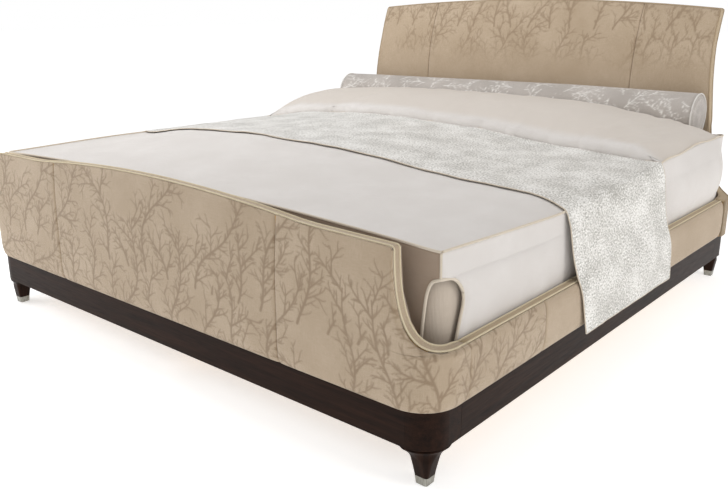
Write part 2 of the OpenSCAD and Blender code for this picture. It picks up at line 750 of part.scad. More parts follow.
footboard_core();
footboard_center_panel();
footboard_left_panel();
footboard_right_panel();
footboard_lining();
footboard_edge_band();
footboard_piping();
foot_plinth();
left_rail_board();
left_rail_cover();
left_rail_lining();
left_rail_welt();
left_rail_plinth();
left_ledger();
right_rail_board();
right_rail_cover();
right_rail_lining();
right_rail_welt();
right_rail_plinth();
right_ledger();
headboard_core();
headboard_center_panel();
headboard_left_panel();
headboard_right_panel();
headboard_back_cover();
headboard_edge_band();
headboard_piping();
head_plinth();
front_left_leg();
front_right_leg();
rear_left_leg();
rear_right_leg();
front_left_ferrule();
front_right_ferrule();
rear_left_ferrule();
rear_right_ferrule();
corner_blocks();
leg_bolts();
center_beam();
beam_brackets();
slats();
center_leg_foot();
center_leg_middle();
center_leg_head();
leg_inserts();
leveller_stud_foot();
leveller_stud_middle();
leveller_stud_head();
leveller_pad_foot();
leveller_pad_middle();
leveller_pad_head();
rail_hook_plates();
rail_receiver_plates();
foundation();
mattress();
coverlet();
left_pillow();
right_pillow();
runner();
bolster();
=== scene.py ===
"""Looks for the upholstered sleigh bed. Lengths are in metres. Shapes are built in bed coordinates,
where u = 0 is the outer face of the footboard, and place() moves them into the frame's axes."""

import json
import math

import bmesh
import bpy
import numpy as np
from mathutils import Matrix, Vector

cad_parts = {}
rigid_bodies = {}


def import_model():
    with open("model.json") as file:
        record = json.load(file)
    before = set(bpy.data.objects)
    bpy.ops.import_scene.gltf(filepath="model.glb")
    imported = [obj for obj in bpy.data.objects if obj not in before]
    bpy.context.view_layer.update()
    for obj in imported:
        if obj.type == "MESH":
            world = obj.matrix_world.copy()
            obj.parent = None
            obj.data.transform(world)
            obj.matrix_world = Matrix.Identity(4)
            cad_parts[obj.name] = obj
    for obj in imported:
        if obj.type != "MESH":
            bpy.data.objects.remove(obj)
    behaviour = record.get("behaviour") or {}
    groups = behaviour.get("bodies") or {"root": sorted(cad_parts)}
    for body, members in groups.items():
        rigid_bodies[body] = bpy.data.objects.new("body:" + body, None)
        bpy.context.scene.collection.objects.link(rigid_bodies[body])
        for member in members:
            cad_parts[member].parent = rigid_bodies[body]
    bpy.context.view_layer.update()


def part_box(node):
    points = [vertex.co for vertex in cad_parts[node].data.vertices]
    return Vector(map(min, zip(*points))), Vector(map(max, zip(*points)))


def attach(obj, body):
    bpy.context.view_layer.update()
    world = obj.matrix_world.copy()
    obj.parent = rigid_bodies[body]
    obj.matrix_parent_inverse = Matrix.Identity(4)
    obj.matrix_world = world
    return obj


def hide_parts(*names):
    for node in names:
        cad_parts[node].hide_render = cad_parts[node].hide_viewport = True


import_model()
FOOT_Y = float(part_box("footboard_center_panel")[0][1])
SCENE = bpy.context.scene

# ------------------------------------------------------------------ sizes of the bed, as in part.scad
HALF_W = 1.030
RAIL_TOP = 0.350
COVER_Z0 = 0.203
WALL_T = 0.044
FRONT_R = 0.115
REAR_R = 0.140
FOOT_JOINT = 0.147
HEAD_JOINT = 1.995
HEAD_BACK = 2.170
FOOT_SHOULDER = 0.598
FOOT_DROP = 0.591
FOOT_CROWN = 0.033
FOOT_CROWN_X = 0.620
FOOT_CORNER = 0.594
FOOT_SEAM = 0.525
FOOT_EDGE = 0.900
HEAD_TOP = 1.124
HEAD_CROWN = 0.038
HEAD_CORNER = 0.860
HEAD_EDGE = 0.886
HEAD_DROP = 0.600
HEAD_SEAM = 0.537
SWEEP_N = 2.4
CORNER_R = 0.008
WELT_R = 0.0027
OUTER_WELT = 0.0175
INNER_WELT = 0.0380
PLINTH_X = 1.010
PLINTH_U0 = 0.020
PLINTH_U1 = 2.150
PLINTH_Z = 0.102
RAIL_SEAM = 0.520
SEAM_GAP = 0.0006


def smooth(a, b, x):
    t = np.clip((np.asarray(x, float) - a) / (b - a), 0, 1)
    return t * t * (3 - 2 * t)


def stack(*parts):
    """Arrays of coordinates as an array of points."""
    return np.stack(parts, -1)


def srgb(r, g, b):
    """Linear colour from 8-bit display values."""
    out = []
    for v in (r, g, b):
        v /= 255
        out.append(v / 12.92 if v <= 0.04045 else ((v + 0.055) / 1.055) ** 2.4)
    return (*out, 1.0)


# ------------------------------------------------------------------ outlines
def foot_top(x):
    x = np.abs(x)
    fall = (FOOT_SHOULDER - FOOT_CORNER) * np.clip((x - FOOT_CROWN_X) / (FOOT_EDGE - FOOT_CROWN_X), 0, 1)
    return FOOT_SHOULDER + FOOT_CROWN * np.clip(1 - (x / FOOT_CROWN_X) ** 2, 0, None) - fall


def head_top(x):
    return HEAD_TOP - HEAD_CROWN * (np.abs(x) / HEAD_CORNER) ** 2


def curl(z):
    return 0.071 * (np.clip(z - 0.750, 0, None) / 0.330) ** 2


def sweep_z(x, x0, z0):
    f = np.clip((HALF_W - x) / (HALF_W - x0), 0, 1)
    return z0 - (z0 - RAIL_TOP) * (1 - f**SWEEP_N) ** (1 / SWEEP_N)


def sweep_x(z, x0, z0):
    f = np.clip((z0 - z) / (z0 - RAIL_TOP), 0, 1)
    return HALF_W - (HALF_W - x0) * (1 - f**SWEEP_N) ** (1 / SWEEP_N)


def head_side(z):
    t = np.clip(0.950 - z, 0, None) / 0.300
    return HEAD_CORNER + (HEAD_EDGE - HEAD_CORNER) * np.minimum(1, t**1.2)


class Wall:
    """The upholstered wall at one end of the bed: a straight run, a bent corner each side and a short
    return to the joint. q is the distance from the middle along the outer face, d the depth inwards."""

    def __init__(self, radius, front):
        self.r = radius
        self.front = front
        self.flat = HALF_W - radius
        self.arc = radius * math.pi / 2
        self.back = (FOOT_JOINT - radius) if front else (HEAD_BACK - radius - HEAD_JOINT)
        self.total = self.flat + self.arc + self.back - 0.0005

    def plan(self, q, d):
        """(x, u) of a point at path distance q (either sign) and depth d."""
        q = np.asarray(q, float)
        d = np.broadcast_to(np.asarray(d, float), q.shape)
        s, a = np.sign(q), np.abs(q)
        th = np.clip((a - self.flat) / self.r, 0, math.pi / 2)
        rest = np.clip(a - self.flat - self.arc, 0, None)
        x = np.where(a < self.flat, a, self.flat + (self.r - d) * np.sin(th))
        dist = np.where(a < self.flat, d, self.r - (self.r - d) * np.cos(th)) + rest
        return s * x, (dist if self.front else HEAD_BACK - dist)

    def q_of_x(self, x):
        x = np.asarray(x, float)
        th = np.arcsin(np.clip((x - self.flat) / self.r, 0, 1))
        return np.where(x < self.flat, x, self.flat + self.r * th)


FOOT = Wall(FRONT_R, True)
HEAD = Wall(REAR_R, False)


def foot_qmax(z):
    """Half length of the footboard's cover along its path at a height."""
    z = np.asarray(z, float)
    corner = FOOT_EDGE - CORNER_R + np.sqrt(
        np.clip(CORNER_R**2 - np.clip(z - (FOOT_CORNER - CORNER_R), 0, CORNER_R) ** 2, 0, None))
    x = np.minimum(sweep_x(np.minimum(z, FOOT_DROP - 0.0001), FOOT_EDGE, FOOT_DROP), HALF_W)
    q = np.where(z > FOOT_DROP - 0.001, corner, FOOT.q_of_x(x))
    return np.where(z <= RAIL_TOP + 1e-6, FOOT.total, q)


def head_qmax(z):
    z = np.asarray(z, float)
    x = np.where(z > HEAD_DROP, head_side(z), sweep_x(z, HEAD_EDGE, HEAD_DROP))
    return np.where(z <= RAIL_TOP + 1e-6, HEAD.total, HEAD.q_of_x(np.minimum(x, HALF_W)))


# ------------------------------------------------------------------ mesh building
def place(p):
    p = np.array(p, float)
    p[..., 1] += FOOT_Y
    return p


def new_mesh(name, verts, faces, smooth_shade=True):
    me = bpy.data.meshes.new(name)
    me.from_pydata(np.asarray(verts).tolist(), [], faces if isinstance(faces, list) else faces.tolist())
    me.update()
    if smooth_shade:
        me.polygons.foreach_set("use_smooth", [True] * len(me.polygons))
    ob = bpy.data.objects.new(name, me)
    SCENE.collection.objects.link(ob)
    return ob


def fix_normals(ob):
    bm = bmesh.new()
    bm.from_mesh(ob.data)
    bmesh.ops.recalc_face_normals(bm, faces=bm.faces)
    bm.to_mesh(ob.data)
    bm.free()


def grid(name, p, uv=None, wrap_u=False, wrap_v=False, caps=False, figure=None, keep=None):
    """A quad mesh through an array of points [rows][columns]; uv is in metres along the cloth."""
    nu, nv = p.shape[:2]
    idx = np.arange(nu * nv).reshape(nu, nv)
    a = np.vstack([idx, idx[:1]]) if wrap_u else idx
    a = np.hstack([a, a[:, :1]]) if wrap_v else a
    quads = stack(a[:-1, :-1], a[1:, :-1], a[1:, 1:], a[:-1, 1:]).reshape(-1, 4)
    if keep is not None:
        quads = quads[keep.reshape(-1)]
    faces = quads.tolist()
    if caps:
        faces += [idx[0, ::-1].tolist(), idx[-1].tolist()]
    ob = new_mesh(name, place(p).reshape(-1, 3), faces)
    if uv is None:
        du = np.linalg.norm(np.diff(p, axis=0), axis=2).mean(1)
        dv = np.linalg.norm(np.diff(p, axis=1), axis=2).mean(0)
        uu = np.concatenate([[0], np.cumsum(du)])
        vv = np.concatenate([[0], np.cumsum(dv)])
        uv = np.stack(np.meshgrid(uu, vv, indexing="ij"), -1)
    loops = np.empty(len(ob.data.loops), np.int64)
    ob.data.loops.foreach_get("vertex_index", loops)
    layer = ob.data.uv_layers.new(name="cloth")
    layer.data.foreach_set("uv", uv.reshape(-1, 2)[loops].astype(np.float32).ravel())
    if figure is not None:
        at = ob.data.attributes.new("figure", "FLOAT", "POINT")
        at.data.foreach_set("value", figure.reshape(-1).astype(np.float32))
    fix_normals(ob)
    return ob


def resample(p, step):
    seg = np.linalg.norm(np.diff(p, axis=0), axis=1)
    s = np.concatenate([[0], np.cumsum(seg)])
    k = max(2, int(round(s[-1] / step)))
    t = np.linspace(0, s[-1], k + 1)
    return np.stack([np.interp(t, s, p[:, i]) for i in range(p.shape[1])], 1)


def shell(name, front, rear, q=None, z=None, figure=None, caps=True):
    """A closed piece between a front and a rear surface; q and z give its place on the unrolled cloth, and
    only the front carries the woven figure."""
    uv = None if q is None else np.stack([np.concatenate([v, v[:, ::-1]], 1) for v in (q, z)], -1)
    fig = None if figure is None else np.concatenate([figure, figure * 0], 1)
    return grid(name, np.concatenate([front, rear[:, ::-1]], 1), uv=uv, wrap_v=True, caps=caps, figure=fig)


def tube(name, route, r, sides=12, step=0.004, closed=False, seam=0.0):
    """A round cord along a route of points."""
    p = resample(np.asarray(route, float), step)
    t = np.gradient(p, axis=0)
    t /= np.linalg.norm(t, axis=1, keepdims=True) + 1e-12
    up = np.tile(np.array([0.0, 0.0, 1.0]), (len(p), 1))
    flat = np.abs((up * t).sum(1)) > 0.93
    up[flat] = (1.0, 0.0, 0.0)
    a = np.cross(t, up)
    for i in range(1, len(a)):
        if (a[i] * a[i - 1]).sum() < 0:
            a[i] = -a[i]
    a /= np.linalg.norm(a, axis=1, keepdims=True)
    b = np.cross(t, a)
    ang = np.linspace(0, 2 * math.pi, sides, endpoint=False)
    cos, sin = np.cos(ang)[None, :, None], np.sin(ang)[None, :, None]
    ring = p[:, None] + r * (cos * a[:, None] + sin * b[:, None])
    s = np.arange(len(p)) * step
    uv = np.stack(np.meshgrid(s, ang * r, indexing="ij"), -1)
    return grid(name, ring, uv=uv, wrap_v=True, caps=not closed, wrap_u=closed)


def thicken(ob, thickness, offset=0):
    mod = ob.modifiers.new("cloth", "SOLIDIFY")
    mod.thickness = thickness
    mod.offset = offset


def join(name, *obs):
    """Joins objects into the first one."""
    for o in SCENE.objects:
        o.select_set(False)
    for o in obs:
        o.select_set(True)
    bpy.context.view_layer.objects.active = obs[0]
    bpy.ops.object.join()
    obs[0].name = name
    return obs[0]


def noise(p, scale, seed=0.0, octaves=3):
    """Smooth value noise at an array of points, about -1 to 1, the same on every run."""
    p = np.asarray(p, float) / scale + seed * 17.31
    total, amp, norm_ = 0.0, 1.0, 0.0
    for _ in range(octaves):
        i = np.floor(p).astype(np.int64)
        f = p - i
        f = f * f * (3 - 2 * f)
        acc = 0.0
        dims = p.shape[-1]
        for corner in range(2**dims):
            h = np.zeros(p.shape[:-1], np.int64)
            w = np.ones(p.shape[:-1])
            for k in range(dims):
                bit = (corner >> k) & 1
                h = h * 374761393 + (i[..., k] + bit) * 668265263 + 1013904223
                w = w * (f[..., k] if bit else 1 - f[..., k])
            h = (h ^ (h >> 13)) * 1274126177
            h = (h ^ (h >> 16)) & 0xFFFF
            acc = acc + w * (h / 32767.5 - 1)
        total = total + amp * acc
        norm_ += amp
        amp *= 0.5
        p = p * 2.03 + 5.7
    return total / norm_


# ------------------------------------------------------------------ woven figures
class Canvas:
    """A drawing of fine lines on flat cloth, sampled onto meshes as an attribute. Stems grow in rounds and
    stop before they meet an older stem, so that the figure fills the cloth evenly."""

    CELL = 0.003  # also the length of one growth step

    def __init__(self, x0, x1, y0, y1, res=0.002, seed=1):
        self.x0, self.y0, self.res = x0, y0, res
        self.a = np.zeros((int((x1 - x0) / res) + 2, int((y1 - y0) / res) + 2), np.float32)
        self.owner = np.zeros((int((x1 - x0) / self.CELL) + 8, int((y1 - y0) / self.CELL) + 8), np.int32)
        self.rng = np.random.default_rng(seed)
        self.count = 0

    def stroke(self, pts, w0, w1):
        pts = resample(np.asarray(pts), self.res)
        n = len(pts)
        for k, (x, y) in enumerate(pts):
            w = w0 + (w1 - w0) * k / n
            cx, cy = (x - self.x0) / self.res, (y - self.y0) / self.res
            r = w / 2 / self.res
            m = int(r + 2)
            i0, i1 = int(cx) - m, int(cx) + m + 1
            j0, j1 = int(cy) - m, int(cy) + m + 1
            if i0 < 0 or j0 < 0 or i1 > self.a.shape[0] or j1 > self.a.shape[1]:
                continue
            gi, gj = np.ogrid[i0:i1, j0:j1]
            v = np.clip(r + 0.5 - np.hypot(gi - cx, gj - cy), 0, 1)
            self.a[i0:i1, j0:j1] = np.maximum(self.a[i0:i1, j0:j1], v)

    def blocked(self, x, y, own, room):
        """True if another stem lies within reach of a point."""
        i, j = int((x - self.x0) / self.CELL), int((y - self.y0) / self.CELL)
        m = max(1, int(room / self.CELL))
        if i < m or j < m or i + m >= self.owner.shape[0] or j + m >= self.owner.shape[1]:
            return True
        near = self.owner[i - m:i + m + 1, j - m:j + m + 1]
        return bool(((near != 0) & (near != own)).any())

    def grow(self, x, y, ang, length, width, bend, turn, sway, room):
        """One stem whose tip winds into a spiral. Returns its points with their headings."""
        self.count += 1
        own = self.count
        step = self.CELL
        n = max(3, int(length / step))
        wob = self.rng.uniform(0, 6.28)
        pts = [(x, y, ang)]
        for k in range(n):
            t = k / n
            wind = max(0.0, t - 0.52) / 0.48
            ang += step * (bend * (turn / length * wind**1.8 + 2.0) + sway * math.sin(wob + t * 7))
            x += step * math.cos(ang)
            y += step * math.sin(ang)
            ahead = (x + step * math.cos(ang), y + step * math.sin(ang))
            if k * step > 0.016 and self.blocked(*ahead, own, room):
                break
            pts.append((x, y, ang))
        if len(pts) < 5:
            return []
        for px, py, _ in pts:
            i, j = int((px - self.x0) / self.CELL), int((py - self.y0) / self.CELL)
            if 0 <= i < self.owner.shape[0] and 0 <= j < self.owner.shape[1]:
                self.owner[i, j] = own
        self.stroke([(px, py) for px, py, _ in pts], width, width * 0.55)
        return pts

    def rounds(self, stems, plans):
        """Side stems of side stems: each plan is (spacing, length, width, turn, room)."""
        g = self.rng
        for spacing, length, width, turn, room in plans:
            fresh = []
            for pts in stems:
                k = int(g.uniform(0.3, 1.0) * spacing / self.CELL)
                side = 1 if g.random() < 0.5 else -1
                while k < len(pts) - 3:
                    x, y, ang = pts[k]
                    new = self.grow(x, y, ang + side * g.uniform(0.55, 0.9), length * g.uniform(0.6, 1.25),
                                    width, -side if g.random() < 0.7 else side, turn, 2.5, room)
                    if new:
                        fresh.append(new)
                    side = -side
                    k += max(3, int(spacing * g.uniform(0.7, 1.3) / self.CELL))
            stems = stems + fresh

    def sample(self, x, y):
        i = np.clip((np.asarray(x) - self.x0) / self.res, 0, self.a.shape[0] - 1.001)
        j = np.clip((np.asarray(y) - self.y0) / self.res, 0, self.a.shape[1] - 1.001)
        i0, j0 = i.astype(int), j.astype(int)
        fi, fj = i - i0, j - j0
        a = self.a
        return ((1 - fi) * (1 - fj) * a[i0, j0] + fi * (1 - fj) * a[i0 + 1, j0]
                + (1 - fi) * fj * a[i0, j0 + 1] + fi * fj * a[i0 + 1, j0 + 1])


def forest(x0, x1, base, height, seed, spacing=0.105):
    """Winding trees side by side, their trunks starting at two heights."""
    cv = Canvas(x0 - 0.3, x1 + 0.3, base - 0.35, base + height + 0.35, seed=seed)
    g = cv.rng
    stems = []
    for lift in (-0.10, 0.12):
        x = x0 + (0.5 * spacing if lift > 0 else 0)
        while x < x1:
            stems.append(cv.grow(x + g.uniform(-0.02, 0.02), base + lift, math.pi / 2 + g.uniform(-0.5, 0.5),
                                 height * g.uniform(0.75, 1.05), 0.0086, g.choice([-0.5, 0.5]), 1.6, 7.0,
                                 0.020))
            x += spacing * g.uniform(0.85, 1.15)
    stems = [p for p in stems if p]
    cv.rounds(stems, [(0.060, 0.150, 0.0066, 4.6, 0.012), (0.042, 0.080, 0.0054, 4.8, 0.009),
                      (0.034, 0.050, 0.0046, 4.6, 0.007), (0.030, 0.038, 0.0040, 4.4, 0.006)])
    return cv


def scrollwork(w, h, seed):
    """Dense wandering scrolls for the bolster's damask."""
    cv = Canvas(-0.1, w + 0.1, -0.1, h + 0.1, res=0.0014, seed=seed)
    g = cv.rng
    stems = []
    for i in range(int(w / 0.075)):
        for j in range(int(h / 0.075)):
            stems.append(cv.grow(i * 0.075 + g.uniform(-0.02, 0.02), j * 0.075 + g.uniform(-0.02, 0.02),
                                 g.uniform(0, 6.28), 0.15, 0.0034, g.choice([-1, 1]), 5.0, 4.0, 0.008))
    stems = [p for p in stems if p]
    cv.rounds(stems, [(0.030, 0.060, 0.0028, 5.0, 0.006), (0.022, 0.040, 0.0024, 4.8, 0.0045)])
    return cv


FOOT_FIGURE = forest(-1.52, 1.52, 0.22, 0.42, seed=7)
HEAD_FIGURE = forest(-0.92, 0.92, 0.88, 0.26, seed=11)
BOLSTER_FIGURE = scrollwork(1.9, 0.62, seed=5)


# ------------------------------------------------------------------ materials
class Mat:
    """Small helper around a material's node tree."""

    def __init__(self, name):
        self.m = bpy.data.materials.new(name)
        self.m.use_nodes = True
        self.t = self.m.node_tree
        self.t.nodes.clear()
        self.out = self.node("ShaderNodeOutputMaterial")
        self.bsdf = self.node("ShaderNodeBsdfPrincipled")
        self.t.links.new(self.bsdf.outputs[0], self.out.inputs[0])

    def node(self, kind, **props):
        n = self.t.nodes.new(kind)
        for k, v in props.items():
            setattr(n, k, v)
        return n

    def link(self, a, b):
        self.t.links.new(a, b)

    def set(self, **values):
        for k, v in values.items():
            self.bsdf.inputs[k.replace("_", " ")].default_value = v

    def coords(self, kind="UV", scale=(1, 1, 1), rot=(0, 0, 0)):
        tc = self.node("ShaderNodeTexCoord")
        mp = self.node("ShaderNodeMapping")
        mp.inputs["Scale"].default_value = scale
        mp.inputs["Rotation"].default_value = rot
        self.link(tc.outputs[kind], mp.inputs["Vector"])
        return mp.outputs[0]

    def noise(self, vec, scale, detail=2.0, rough=0.5):
        n = self.node("ShaderNodeTexNoise")
        n.inputs["Scale"].default_value = scale
        n.inputs["Detail"].default_value = detail
        n.inputs["Roughness"].default_value = rough
        self.link(vec, n.inputs["Vector"])
        return n.outputs["Fac"]

    def wave(self, vec, period, direction="X"):
        n = self.node("ShaderNodeTexWave", wave_type="BANDS", bands_direction=direction)
        n.inputs["Scale"].default_value = 2 * math.pi / 20 / period
        n.inputs["Distortion"].default_value = 1.5
        n.inputs["Detail"].default_value = 1.0
        n.inputs["Detail Scale"].default_value = 0.6
        self.link(vec, n.inputs["Vector"])
        return n.outputs["Fac"]

    def math(self, op, a, b=None, clamp=False):
        n = self.node("ShaderNodeMath", operation=op, use_clamp=clamp)
        for i, v in enumerate((a, b)):
            if v is None:
                continue
            if isinstance(v, (int, float)):
                n.inputs[i].default_value = v
            else:
                self.link(v, n.inputs[i])
        return n.outputs[0]

    def ramp(self, fac, stops):
        n = self.node("ShaderNodeValToRGB")
        el = n.color_ramp.elements
        while len(el) < len(stops):
            el.new(0.5)
        for e, (pos, col) in zip(el, stops):
            e.position = pos
            e.color = col
        self.link(fac, n.inputs[0])
        return n.outputs[0]

    def mix(self, fac, a, b, blend="MIX"):
        n = self.node("ShaderNodeMix", data_type="RGBA", blend_type=blend)
        for sock, v in ((n.inputs[0], fac), (n.inputs[6], a), (n.inputs[7], b)):
            if isinstance(v, (int, float, tuple)):
                sock.default_value = v
            else:
                self.link(v, sock)
        return n.outputs[2]

    def bump(self, height, strength, distance):
        n = self.node("ShaderNodeBump")
        n.inputs["Strength"].default_value = strength
        n.inputs["Distance"].default_value = distance
        self.link(height, n.inputs["Height"])
        self.link(n.outputs[0], self.bsdf.inputs["Normal"])
        return n

    def colour(self, sock):
        self.link(sock, self.bsdf.inputs["Base Color"])


def attribute(m, name="figure"):
    n = m.node("ShaderNodeAttribute")
    n.attribute_name = name
    return n.outputs["Fac"]


def cloth(name, base, dark, thread=0.0016, slub=0.35, rough=0.85, sheen=0.25, figure=None, gloss=0.2,
          bump=0.55, mottle=0.25, kind="UV"):
    """Woven cloth: two sets of threads, slubs along both, and a wide soft mottle."""
    m = Mat(name)
    v = m.coords(kind)
    warp = m.wave(v, thread, "X")
    weft = m.wave(v, thread, "Y")
    weave = m.math("MULTIPLY", warp, weft)
    s1 = m.noise(m.coords(kind, scale=(1 / 0.0018, 1 / 0.030, 1 / 0.0018)), 1.0, 2.0)
    s2 = m.noise(m.coords(kind, scale=(1 / 0.030, 1 / 0.0018, 1 / 0.030)), 1.0, 2.0)
    wide = m.noise(v, 6.0, 3.0)
    slubs = m.math("ADD", m.math("MULTIPLY", s1, 0.5), m.math("MULTIPLY", s2, 0.5))
    tone = m.math("ADD", m.math("MULTIPLY", slubs, slub), m.math("MULTIPLY", wide, mottle))
    tone = m.math("ADD", tone, m.math("MULTIPLY", weave, 1 - slub - mottle))
    col = m.ramp(tone, [(0.30, dark), (0.56, base)])
    height = m.math("ADD", m.math("MULTIPLY", weave, 0.6), slubs)
    if figure is not None:
        fig = attribute(m)
        col = m.mix(m.math("MULTIPLY", fig, figure[1], clamp=True), col, figure[0])
        height = m.math("ADD", height, m.math("MULTIPLY", fig, figure[2]))
    m.colour(col)
    m.bump(height, bump, 0.0012)
    m.set(Roughness=rough, Sheen_Weight=sheen, Sheen_Roughness=0.5, Specular_IOR_Level=gloss)
    return m.m


def plain_tint(c, k):
    return (*[min(1.0, v * k) for v in c[:3]], 1.0)


TAN = srgb(212, 194, 172)
MATS = {}
MATS["jacquard"] = cloth("tan_jacquard", TAN, srgb(168, 147, 121), figure=(srgb(140, 118, 94), 0.74, -0.5))
MATS["back"] = cloth("back_fabric", srgb(176, 156, 128), srgb(150, 130, 104))
MATS["band"] = cloth("edge_fabric", srgb(205, 186, 156), srgb(176, 154, 122))
MATS["lining"] = cloth("cream_lining", srgb(206, 186, 164), srgb(180, 156, 132))
MATS["piping"] = cloth("cream_piping", srgb(244, 233, 208), srgb(214, 198, 164), thread=0.0011, sheen=0.15)
MATS["selfpiping"] = cloth("self_piping", srgb(196, 176, 148), srgb(160, 138, 110), thread=0.0011)
# On the coverlet the figure colour is no woven figure: it is painted shade, laid over the pillow zone by the
# coverlet top's figure attribute.
MATS["coverlet"] = cloth("ivory_matelasse", srgb(240, 236, 233), srgb(219, 213, 208), thread=0.0014, slub=0.3,
                         mottle=0.3, sheen=0.2, figure=(srgb(216, 205, 193), 0.9, 0.0))
# A darker copy of the coverlet's cloth for its front panel: painted shade, standing for the shade between the
# footboard and the mattress.
MATS["shade"] = cloth("ivory_matelasse_painted_shade", srgb(178, 160, 142), srgb(158, 138, 120), thread=0.0014)
MATS["cord"] = cloth("coverlet_cord", srgb(238, 228, 212), srgb(216, 202, 182), thread=0.0011)
MATS["ticking"] = cloth("ticking", srgb(214, 202, 188), srgb(190, 176, 160), thread=0.002)
MATS["cotton"] = cloth("pillow_cotton", srgb(236, 233, 228), srgb(220, 216, 210), thread=0.0012)
MATS["damask"] = cloth("silver_damask", srgb(203, 195, 188), srgb(165, 157, 150), slub=0.3, mottle=0.35,
                       figure=(srgb(244, 241, 236), 0.9, 1.4), sheen=0.35, rough=0.55, gloss=0.4)


def velvet():
    """Crushed silver velvet: small flecks of pile lying different ways."""
    m = Mat("silver_velvet")
    v = m.coords("UV")
    fleck = m.noise(m.coords("UV", scale=(1 / 0.0075, 1 / 0.006, 1)), 1.0, 3.0, 0.6)
    cloud = m.noise(v, 9.0, 3.0, 0.55)
    tone = m.math("ADD", m.math("MULTIPLY", fleck, 0.72), m.math("MULTIPLY", cloud, 0.28))
    m.colour(m.ramp(tone, [(0.40, srgb(168, 165, 158)), (0.50, srgb(216, 213, 207)),
                           (0.58, srgb(250, 248, 244))]))
    m.link(m.ramp(fleck, [(0.35, (0.65, 0.65, 0.65, 1)), (0.65, (0.35, 0.35, 0.35, 1))]),
           m.bsdf.inputs["Roughness"])
    m.bump(tone, 0.8, 0.0025)
    m.set(Sheen_Weight=0.35, Sheen_Roughness=0.4, Specular_IOR_Level=0.4)
    return m.m


def wood(name, dark, light, along="X", rough=0.4, coat=0.01):
    m = Mat(name)
    k = {"X": (1.2, 26, 26), "Y": (26, 1.2, 26), "Z": (26, 26, 1.2)}[along]
    grain = m.noise(m.coords("Object", scale=k), 1.6, 6.0, 0.65)
    fine = m.noise(m.coords("Object", scale=tuple(v * 7 for v in k)), 2.0, 3.0, 0.6)
    tone = m.math("ADD", m.math("MULTIPLY", grain, 0.7), m.math("MULTIPLY", fine, 0.3))
    m.colour(m.ramp(tone, [(0.36, dark), (0.66, light)]))
    m.bump(fine, 0.12, 0.0006)
    m.link(m.ramp(fine, [(0.3, (rough + 0.08,) * 3 + (1,)), (0.7, (rough - 0.05,) * 3 + (1,))]),
           m.bsdf.inputs["Roughness"])
    m.set(Coat_Weight=coat, Coat_Roughness=0.25, Specular_IOR_Level=0.07)
    return m.m


def metal(name, col, col2, rough, scale=(400, 400, 30)):
    m = Mat(name)
    brushed = m.noise(m.coords("Object", scale=scale), 1.0, 3.0)
    m.colour(m.ramp(brushed, [(0.3, col2), (0.7, col)]))
    m.link(m.ramp(brushed, [(0.3, (rough + 0.12,) * 3 + (1,)), (0.7, (rough - 0.05,) * 3 + (1,))]),
           m.bsdf.inputs["Roughness"])
    m.bump(brushed, 0.08, 0.0004)
    m.set(Metallic=1.0)
    return m.m


def plastic(name, col):
    m = Mat(name)
    g = m.noise(m.coords("Object"), 900.0, 2.0)
    m.colour(m.ramp(g, [(0.3, plain_tint(col, 0.8)), (0.7, col)]))
    m.bump(g, 0.15, 0.0003)
    m.set(Roughness=0.55)
    return m.m


MATS["velvet"] = velvet()
for axis in "xyz":
    MATS[f"wood_{axis}"] = wood(f"espresso_wood_{axis}", srgb(20, 10, 6), srgb(48, 28, 18), axis.upper())
    MATS[f"timber_{axis}"] = wood(f"frame_timber_{axis}", srgb(176, 140, 96), srgb(216, 186, 142),
                                  axis.upper(), rough=0.65, coat=0.0)
MATS["pewter"] = metal("pewter_metal", srgb(172, 170, 162), srgb(128, 126, 118), 0.34)
MATS["zinc"] = metal("zinc_steel", srgb(196, 198, 200), srgb(160, 162, 166), 0.35)
MATS["black_plastic"] = plastic("black_plastic", srgb(38, 38, 38))


def dress(ob, mat, slot, body="root", *nodes):
    ob.data.materials.clear()
    ob.data.materials.append(MATS[mat])
    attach(ob, body)
    if nodes:
        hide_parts(*nodes)
    return ob


# ------------------------------------------------------------------ footboard
COVER_T = 0.0145
ROLL_D = 0.0142
FOOT_PUFF = 0.0006
LINING_D0, LINING_D1 = 0.0404, 0.0438


def foot_profile(z):
    """Depth of the footboard's face below its belly."""
    return np.interp(z, [0.200, 0.206, 0.214, 0.230, 0.252, 0.420, 0.490, 0.540, 0.580, 0.606, 0.64],
                     [0.0130, 0.0085, 0.0050, 0.0020, 0.0008, 0.0008, 0.0028, 0.0058, 0.0090, 0.0118, 0.0125])


def rail_profile(z):
    return np.interp(z, [0.200, 0.206, 0.214, 0.230, 0.252, 0.312, 0.328, 0.338, 0.345, 0.349, 0.352],
                     [0.0130, 0.0085, 0.0050, 0.0020, 0.0005, 0.0005, 0.0022, 0.0052, 0.0090, 0.0125, 0.0142])


def edge_distance(q, z, line):
    """Shortest distance from each point to a polyline in the unrolled face."""
    best = np.full(q.shape, 9.0)
    for (ax, ay), (bx, by) in zip(line[:-1], line[1:]):
        dx, dy = bx - ax, by - ay
        t = np.clip(((q - ax) * dx + (z - ay) * dy) / (dx * dx + dy * dy + 1e-12), 0, 1)
        best = np.minimum(best, np.hypot(q - ax - t * dx, z - ay - t * dy))
    return best


def z_rows(z0, z1, step, dense=RAIL_TOP):
    """Row heights, packed closely just above the rail's top, where the sweep is nearly level."""
    low = np.arange(z0, dense, step)
    near = dense + np.array([0.0, 0.0003, 0.0008, 0.0016, 0.0028, 0.0045, 0.0068, 0.0098])
    high = np.arange(near[-1] + step, z1 - 0.4 * step, step)
    return np.concatenate([low, near, high, [z1]])


def crease(q, at, depth):
    """How far a seam pulls the cloth in: a sharp groove and a wide soft dip."""
    off = np.abs(q - at)
    return depth * np.exp(-((off / 0.0035) ** 1.3)) + 0.0012 * np.exp(-((off / 0.020) ** 2))


